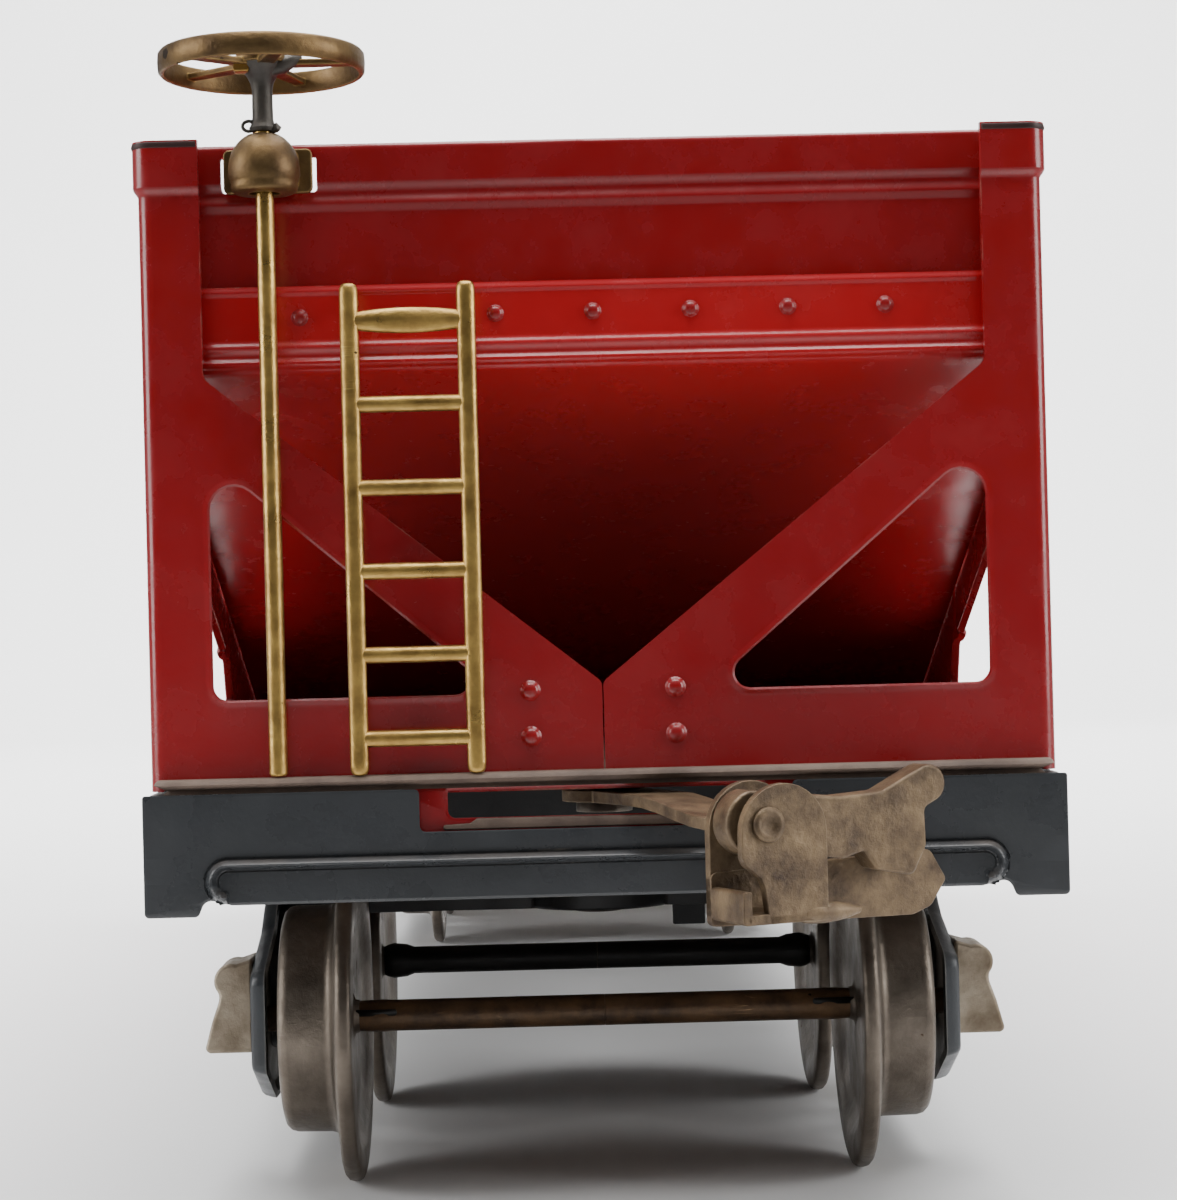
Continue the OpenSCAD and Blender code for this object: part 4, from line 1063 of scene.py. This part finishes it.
def wheel_profile():
    """A wheel's outline from its back hub to its front one: flange, tread and dished face."""
    flange, tread, width = FLANGE_R, TREAD_R, WHEEL_W
    return [
        (1.2, 0.3), (1.5, 0.3), (1.6, 0.7), (2.2, 0.9), (4.2, 1.0), (9.4, 1.0), (10.6, 0.85),
        (11.4, 0.45), (12.1, 0.12), (13.0, 0.0), (flange - 0.55, 0.05), (flange - 0.2, 0.2), (flange - 0.03, 0.5),
        (flange, 0.9), (flange - 0.1, 1.3), (flange - 0.45, 1.6), (13.4, 1.75), (12.0, 1.9), (tread + 0.6, 2.1),
        (tread + 0.12, 2.45), (tread, 2.95), (tread - 0.05, width - 1.0), (tread - 0.2, width - 0.45),
        (tread - 0.55, width - 0.1), (tread - 0.9, width), (tread - 1.5, width - 0.06), (tread - 1.85, width - 0.4),
        (tread - 2.2, width - 1.2), (tread - 2.8, width - 1.7), (6.8, width - 1.8), (4.4, width - 1.6),
        (3.6, width - 1.1), (3.2, width - 0.5), (2.8, width - 0.3), (1.2, width - 0.3), (1.2, 0.3)]


def build_wheelsets(made):
    """Wheels, axles and spacing sleeves of the four wheelsets."""
    inner = WHEEL_INNER_X
    for n in (1, 2, 3, 4):
        y = (low(f"axle_{n}").y + high(f"axle_{n}").y) / 2
        body = f"wheelset_{n}"
        bm = bmesh.new()
        for side in (-1, 1):
            lay = Matrix.Rotation(side * pi / 2, 4, "Y")
            lathe(bm, wheel_profile(), 128, Matrix.Translation((side * inner, y, AXLE_Z)) @ lay)
        face_out(bm)
        piece = from_bmesh(f"wheel_pair_{n}", bm, made["wheel_steel"])
        piece.modifiers.new("Flat faces", "WEIGHTED_NORMAL").weight = 30
        finish_piece(piece, body, "wheel_steel", f"wheels_{n}")

        lay = Matrix.Translation((0, y, AXLE_Z)) @ Matrix.Rotation(pi / 2, 4, "Y")
        end = high(f"axle_{n}").x
        bm = bmesh.new()
        lathe(bm, [(0, -end), (0.9, -end), (1.15, -end + 0.3), (1.2, -end + 0.6), (1.2, end - 0.6), (1.15, end - 0.3),
                   (0.9, end), (0, end)], 32, lay)
        finish_piece(from_bmesh(f"axle_rod_{n}", bm, made["axle_steel"]), body, "axle_steel", f"axle_{n}")

        worn = n in (1, 4)
        sleeve = made["axle_steel" if worn else "axle_black"]
        half = inner + 0.7
        flare = (1.5, 1.45, 1.4) if worn else (1.75, 1.9, 1.7)
        profile = [(1.2, 0), (1.45, 0), (1.45, half - 3.4), *zip(flare, (half - 2.6, half - 1.2, half - 0.5)),
                   (1.45, half), (1.2, half), (1.2, 0)]
        bm = bmesh.new()
        for side in (-1, 1):
            lathe(bm, [(radius, side * run) for radius, run in profile], 32, lay)
        face_out(bm)
        finish_piece(ease(from_bmesh(f"sleeve_{n}", bm, sleeve), 0.05), body, "axle_steel", f"axle_sleeve_{n}")
        # A dark strip near each end of a worn sleeve: painted shade for the shaded inside of the sleeve's slot.
        if worn:
            bm = bmesh.new()
            for side in (-1, 1):
                slit = rectangle(inner - 3.2, 0.15, inner + 0.6, 0.75, [0.25, 0, 0, 0.25], 4)
                prism(bm, slit, 0.3, lambda u, v, d: Vector((side * u, y - 1.15 - d, AXLE_Z + v)))
            finish_piece(from_bmesh(f"sleeve_painted_shade_strip_{n}", bm, made["axle_black"]), body, "axle_steel")


# ---- couplers ----

HEAD_U, HEAD_L, COUPLER_SHEET = 21.0, 6.0, 0.8
HEAD_LEFT, HEAD_RIGHT, HOOK_TIP = -1.7, 5.8, 19.9
LATCH_V, LATCH_DROP, LATCH_W = 0.6, 3.1, 2.5


def build_couplers(made):
    """Box, hook plate, shank, latch and pins of both couplers."""
    head_u, head_l, sheet = HEAD_U, HEAD_L, COUPLER_SHEET
    head_low, head_top = DECK_UNDER - 10.0, DECK_UNDER + 0.7
    left, right, tip = HEAD_LEFT, HEAD_RIGHT, HOOK_TIP
    latch_v, latch_z = LATCH_V, head_top - LATCH_DROP
    mid, top_r = (left + right) / 2, (right - left) / 2
    dome = arc(mid, head_top - top_r, top_r, 0, 180, 16)
    rear = [(left + 0.8, head_low), (right - 0.8, head_low), (right, head_low + 0.8), *dome, (left, head_low + 0.8)]
    front = [(left + 2.3, head_low), (right - 0.8, head_low), (right, head_low + 0.8)] + dome
    front += [(left, latch_z - 2.4), (left + 0.25, latch_z - 3.0), (left + 1.6, latch_z - 4.1),
              (left + 1.9, latch_z - 4.8)]
    hook = fillet([(left, head_low - 0.5), (tip - 3.2, head_low - 0.8), (tip - 1.5, head_low - 0.2),
                   (tip, head_low + 1.9), (tip - 1.5, head_low + 4.4), (left, head_low + 3.7)],
                  [0.5, 1.4, 0.9, 0.5, 0.9, 0.5], 5)
    under = [(4.1, -2.6, 0.8), (8.4, -3.2, 1.0), (10.2, -2.7, 0.3), (11.3, -4.2, 0.6), (14.7, -4.9, 0.7),
             (16.0, -2.6, 1.0), (15.9, 0.4, 0.6)]
    over = [(14.3, 3.0, 0.8), (12.0, 1.9, 1.5), (8.2, 1.7, 1.0), (3.0, 2.2, 0.8)]
    lobe = arc(latch_v, latch_z, 2.6, 100, 250, 14)
    tail = arc(16.4, latch_z + 2.3, 1.5, -60, 110, 10)
    points = lobe + [(v, latch_z + z) for v, z, _ in under] + tail + [(v, latch_z + z) for v, z, _ in over]
    radii = [0] * len(lobe) + [r for _, _, r in under] + [0] * len(tail) + [r for _, _, r in over]
    lever = fillet(points, radii, 4)
    for end in ENDS:
        pivot = at_end(end) @ Matrix.Translation((0, -COUPLER_PIVOT_Y, 0))
        turned = pivot @ Matrix.Rotation(radians(COUPLER_REST), 4, "Z")

        def at_u(u):
            return lambda v, z, d: turned @ Vector((v, -u - d, z))

        bm = bmesh.new()
        prism(bm, rear, sheet, at_u(head_u))
        prism(bm, front, sheet, at_u(head_u + head_l - sheet))
        prism(bm, hook, sheet + 0.1, at_u(head_u))
        floor = fillet([(left + 0.6, head_low), (right, head_low), (right, head_low + sheet),
                        (left, head_low + sheet)], [0.3] * 4, 3)
        prism(bm, floor, head_l, at_u(head_u))
        cheek = rectangle(left, head_low, left + sheet, head_low + 2.6, [0.35, 0, 0.2, 0.3])
        prism(bm, cheek, head_l, at_u(head_u))
        lip = [turned @ Vector((v, -head_u - head_l + 0.7, head_low + 0.55)) for v in span(right - 2, right + 3.2, 6)]
        tube(bm, lip, [0.75, 0.85, 0.85, 0.75, 0.55, 0.25], 18)
        finish_piece(ease(from_bmesh(f"coupler_box_{end}", bm, made["tarnished_nickel"]), 0.2, 3), f"coupler_{end}",
                     "tarnished_nickel", f"coupler_head_{end}")

        bm = bmesh.new()
        shank_z = DECK_UNDER - 1.8
        sides = span(0.15, 1, 8)
        outline = [(-u, v) for u, v in arc(0, 0, 3.6, 45, 315, 20)]
        outline += [(head_u * t, -2.5 + 0.9 * t) for t in sides]
        outline += [(head_u * t, 2.5 + 0.9 * t) for t in sides[::-1]]
        prism(bm, outline, 1.0,
              lambda u, v, d: turned @ Vector((v, -u, shank_z + d - 1.3 * smooth_step(u, 9.5, head_u))))
        bmesh.ops.triangulate(bm, faces=[face for face in bm.faces if len(face.verts) > 4])
        finish_piece(ease(from_bmesh(f"coupler_bar_{end}", bm, made["tarnished_nickel"]), 0.15), f"coupler_{end}",
                     "tarnished_nickel", f"coupler_shank_{end}")

        bm = bmesh.new()
        prism(bm, lever, LATCH_W, at_u(head_u + (head_l - LATCH_W) / 2))
        finish_piece(ease(from_bmesh(f"latch_{end}", bm, made["tarnished_nickel"]), 0.5, 4, 30), f"latch_{end}",
                     "tarnished_nickel", f"coupler_latch_{end}")

        bm = bmesh.new()
        along = turned @ Matrix.Translation((latch_v, -head_u, latch_z)) @ Matrix.Rotation(pi / 2, 4, "X")
        lathe(bm, [(0, 0), (0.9, 0), (0.9, head_l), (1.25, head_l), (1.4, head_l + 0.12), (1.3, head_l + 0.34),
                   (0.85, head_l + 0.45), (0.6, head_l + 0.2), (0.3, head_l + 0.12), (0, head_l + 0.1)], 32, along)
        face_out(bm)
        finish_piece(from_bmesh(f"latch_rivet_{end}", bm, made["tarnished_nickel"]), f"coupler_{end}",
                     "rivet_steel", f"latch_pin_{end}")
        dress(f"coupler_rivet_{end}", made["rivet_steel"], 0.12)


def build_underside(made):
    """What lies under the deck: bolsters, kingpins, chutes and their doors."""
    for end in ENDS:
        # Bolsters, chutes and doors take the darker black: painted shade under the deck.
        dress(f"body_bolster_{end}", made["under_black_painted_shade"], 0.25)
        dress(f"kingpin_{end}", made["rivet_steel"], 0.15)
        dress(f"chute_{end}", made["under_black_painted_shade"], 0.15)
        dress(f"chute_door_{end}", made["under_black_painted_shade"], 0.15)
        dress(f"door_rod_{end}", made["axle_steel"], 0.1)


# ---- stage, light and camera ----

FLOOR_SHADE = 0.22
# Each soft light: its name, place, aim and size in millimetres, and its share of the key light's power
SOFT_BOXES = (
    ("Overhead", (40, -60, 1100), (20, 0, 40), (1100, 1000), 1.05),
    ("Left", (-1000, -300, 350), (0, -60, 50), (500, 700), 0.3),
    ("Right", (1000, -350, 350), (0, -60, 50), (500, 700), 0.3),
    ("Backdrop", (0, 500, 1000), (0, 1400, 250), (1600, 500), 2.1),
)
CAMERA_PLACE = (-4.21, -364.25, 51.51)
CAMERA_YAW, CAMERA_PITCH, CAMERA_ROLL = radians(0.833), radians(0.453), radians(1.446)
CAMERA_LENS, CAMERA_SENSOR = 80.18, 36


def stage_sheet():
    """A floor that sweeps up into a backdrop."""
    bm = bmesh.new()
    back, radius, height, width = 900.0, 500.0, 1500.0, 3000.0
    line = [(-1400.0, 0.0), (-600, 0), (0, 0), (back, 0)]
    line += [(back + radius * sin(a), radius - radius * cos(a)) for a in span(0, pi / 2, 16)[1:]]
    line += [(back + radius, height)]
    rows = [[bm.verts.new((x, y, z)) for x in (-width, width)] for y, z in line]
    for a, b in zip(rows, rows[1:]):
        bm.faces.new((a[0], a[1], b[1], b[0]))
    return bm


def stage_finish(floor_shade):
    """Pale paper, dimmer in what the wagon reflects of the parts before it and beside it."""
    material = bpy.data.materials.new("paper")
    material.use_nodes = True
    graph = Graph(material.node_tree)
    shader = material.node_tree.nodes["Principled BSDF"]
    place = graph.place()
    spots = graph.noise(place, 3.0, 3.0, 0.5)
    colour = graph.mix(graph.ramp(spots, 0.3, 0.7), (0.80, 0.80, 0.80, 1), (0.83, 0.83, 0.83, 1))
    material.node_tree.links.new(colour, shader.inputs["Base Color"])
    shader.inputs["Roughness"].default_value = 0.9
    shader.inputs["Specular IOR Level"].default_value = 0.1
    split = graph.add("ShaderNodeSeparateXYZ", {"Vector": place})
    front = graph.ramp(split.outputs["Y"], -0.16, -0.24)
    beside = graph.ramp(graph.math("ABSOLUTE", split.outputs["X"]), 0.07, 0.16)
    around = graph.math("MAXIMUM", front, beside)
    unseen = graph.math("SUBTRACT", 1.0, graph.add("ShaderNodeLightPath").outputs["Is Camera Ray"])
    dark = graph.add("ShaderNodeBsdfDiffuse", {"Color": (floor_shade, floor_shade, floor_shade, 1)})
    blend = graph.add("ShaderNodeMixShader", {0: graph.times(around, unseen), 1: shader.outputs["BSDF"],
                                              2: dark.outputs["BSDF"]})
    leave = material.node_tree.nodes["Material Output"]
    material.node_tree.links.new(blend.outputs["Shader"], leave.inputs["Surface"])
    return material


def soft_box(name, place, aim, size, power):
    """A large soft light, in millimetres and watts."""
    lamp = bpy.data.lights.new(name, "AREA")
    lamp.shape = "RECTANGLE"
    lamp.size, lamp.size_y = size[0] * MM, size[1] * MM
    lamp.energy = power
    lit = bpy.data.objects.new(name, lamp)
    lit.location = Vector(place) * MM
    lit.rotation_euler = (Vector(aim) - Vector(place)).to_track_quat("-Z", "Y").to_euler()
    bpy.context.scene.collection.objects.link(lit)


def build_world(strength):
    """A pale room: bright above and behind, dimmer at both sides and where the viewer stands."""
    world = bpy.data.worlds.new("Room")
    bpy.context.scene.world = world
    world.use_nodes = True
    graph = Graph(world.node_tree)
    shader = world.node_tree.nodes["Background"]
    around = graph.add("ShaderNodeTexCoord").outputs["Generated"]
    split = graph.add("ShaderNodeSeparateXYZ", {"Vector": around})
    behind = graph.ramp(split.outputs["Y"], -0.5, 0.35, 0.05, 1.0)
    above = graph.ramp(split.outputs["Z"], 0.2, 0.85, 0.0, 0.7)
    aside = graph.ramp(graph.math("ABSOLUTE", split.outputs["X"]), 0.35, 0.9, 1.0, 0.5)
    level = graph.times(graph.math("MAXIMUM", behind, above), aside)
    tone = graph.mix(level, (0.0, 0.0, 0.0, 1), (0.97, 0.985, 1.0, 1))
    world.node_tree.links.new(tone, shader.inputs["Color"])
    shader.inputs["Strength"].default_value = strength


def build_camera():
    """The camera, level with the wagon's side and a little to the left of its end."""
    yaw, pitch, roll = CAMERA_YAW, CAMERA_PITCH, CAMERA_ROLL
    ahead = Vector((sin(yaw) * cos(pitch), cos(yaw) * cos(pitch), sin(pitch)))
    across = Vector((cos(yaw), -sin(yaw), 0))
    up = across.cross(ahead)
    right = across * cos(roll) - up * sin(roll)
    top = across * sin(roll) + up * cos(roll)
    data = bpy.data.cameras.new("Camera")
    data.lens, data.sensor_width, data.clip_start, data.clip_end = CAMERA_LENS, CAMERA_SENSOR, 0.01, 20
    camera = bpy.data.objects.new("Camera", data)
    turned = Matrix((right, top, -ahead)).transposed().to_4x4()
    camera.matrix_world = Matrix.Translation(Vector(CAMERA_PLACE) * MM) @ turned
    bpy.context.scene.collection.objects.link(camera)
    bpy.context.scene.camera = camera


# ---- the add-on ----

MADE = {}


def finishes():
    """The finishes for the present wear and enamel, made once for each."""
    settings = bpy.context.scene.wagon
    wanted = (settings.wear, *settings.enamel)
    if wanted not in MADE:
        MADE[wanted] = make_finishes(settings.wear, settings.enamel)
    return MADE[wanted]


class WagonSettings(bpy.types.PropertyGroup):
    wear: FloatProperty(name="Wear", description="How worn the finishes are", default=1.0, min=0.0, max=2.0)
    enamel: FloatVectorProperty(name="Body enamel", description="Colour of the body's enamel", subtype="COLOR",
                                default=ENAMEL, min=0.0, max=1.0)
    rungs: IntProperty(name="Rungs", description="Number of rungs on each ladder", default=6, min=4, max=8)
    rung: FloatProperty(name="Rung thickness", description="Thickness of the ladders' rungs", default=1.36 * MM,
                        min=0.8 * MM, max=2.0 * MM, unit="LENGTH")
    room: FloatProperty(name="Room light", description="Brightness of the room", default=0.65, min=0.0, max=3.0)
    key: FloatProperty(name="Key light", description="Power that the soft lights share", default=26.0, min=0.0,
                       max=200.0, unit="POWER")


class WagonOperator:
    """What the wagon's operators share: each runs one builder on the scene's settings."""

    bl_options = {"REGISTER", "UNDO"}

    def execute(self, context):
        self.build(context.scene.wagon)
        return {"FINISHED"}


class WAGON_OT_hopper(WagonOperator, bpy.types.Operator):
    """Build the hopper's sides, ends, slopes, rim folds and rivets"""

    bl_idname = "wagon.hopper"
    bl_label = "Hopper"

    def build(self, settings):
        build_hopper(finishes())


class WAGON_OT_frame(WagonOperator, bpy.types.Operator):
    """Build the deck, sills, end beams and slot plates"""

    bl_idname = "wagon.frame"
    bl_label = "Frame"

    def build(self, settings):
        build_frame(finishes())


class WAGON_OT_ladders(WagonOperator, bpy.types.Operator):
    """Build a ladder at each end"""

    bl_idname = "wagon.ladders"
    bl_label = "Ladders"

    def build(self, settings):
        build_ladders(finishes(), settings.rungs, settings.rung / MM)


class WAGON_OT_brake(WagonOperator, bpy.types.Operator):
    """Build the hand brake's bracket, staff, wheel and nut"""

    bl_idname = "wagon.brake"
    bl_label = "Hand Brake"

    def build(self, settings):
        build_brake(finishes())


class WAGON_OT_trucks(WagonOperator, bpy.types.Operator):
    """Build the side frames and journal boxes of both trucks"""

    bl_idname = "wagon.trucks"
    bl_label = "Trucks"

    def build(self, settings):
        build_trucks(finishes())


class WAGON_OT_wheelsets(WagonOperator, bpy.types.Operator):
    """Build the wheels, axles and sleeves"""

    bl_idname = "wagon.wheelsets"
    bl_label = "Wheelsets"

    def build(self, settings):
        build_wheelsets(finishes())


class WAGON_OT_couplers(WagonOperator, bpy.types.Operator):
    """Build both couplers and their latches"""

    bl_idname = "wagon.couplers"
    bl_label = "Couplers"

    def build(self, settings):
        build_couplers(finishes())


class WAGON_OT_underside(WagonOperator, bpy.types.Operator):
    """Finish the bolsters, kingpins, chutes and doors"""

    bl_idname = "wagon.underside"
    bl_label = "Underside"

    def build(self, settings):
        build_underside(finishes())


class WAGON_OT_stage(WagonOperator, bpy.types.Operator):
    """Set the floor, the lights and the camera"""

    bl_idname = "wagon.stage"
    bl_label = "Stage"

    def build(self, settings):
        from_bmesh("floor", stage_sheet(), stage_finish(FLOOR_SHADE))
        build_world(settings.room)
        for name, place, aim, size, share in SOFT_BOXES:
            soft_box(name, place, aim, size, share * settings.key)
        build_camera()


OPERATORS = (WAGON_OT_hopper, WAGON_OT_frame, WAGON_OT_ladders, WAGON_OT_brake, WAGON_OT_trucks,
             WAGON_OT_wheelsets, WAGON_OT_couplers, WAGON_OT_underside, WAGON_OT_stage)


class WAGON_PT_panel(bpy.types.Panel):
    """Lists the wagon's settings and builders"""

    bl_idname = "WAGON_PT_panel"
    bl_label = "Toy Hopper Wagon"
    bl_space_type = "VIEW_3D"
    bl_region_type = "UI"
    bl_category = "Wagon"

    def draw(self, context):
        settings = context.scene.wagon
        for name in ("wear", "enamel", "rungs", "rung", "room", "key"):
            self.layout.prop(settings, name)
        for operator in OPERATORS:
            self.layout.operator(operator.bl_idname)


CLASSES = (WagonSettings, *OPERATORS, WAGON_PT_panel)


def register():
    for cls in CLASSES:
        bpy.utils.register_class(cls)
    bpy.types.Scene.wagon = PointerProperty(type=WagonSettings)


def unregister():
    del bpy.types.Scene.wagon
    for cls in reversed(CLASSES):
        bpy.utils.unregister_class(cls)


def main():
    """Builds the whole scene."""
    register()
    for operator in OPERATORS:
        getattr(bpy.ops.wagon, operator.bl_idname.split(".")[1])()


if __name__ == "__main__":
    main()
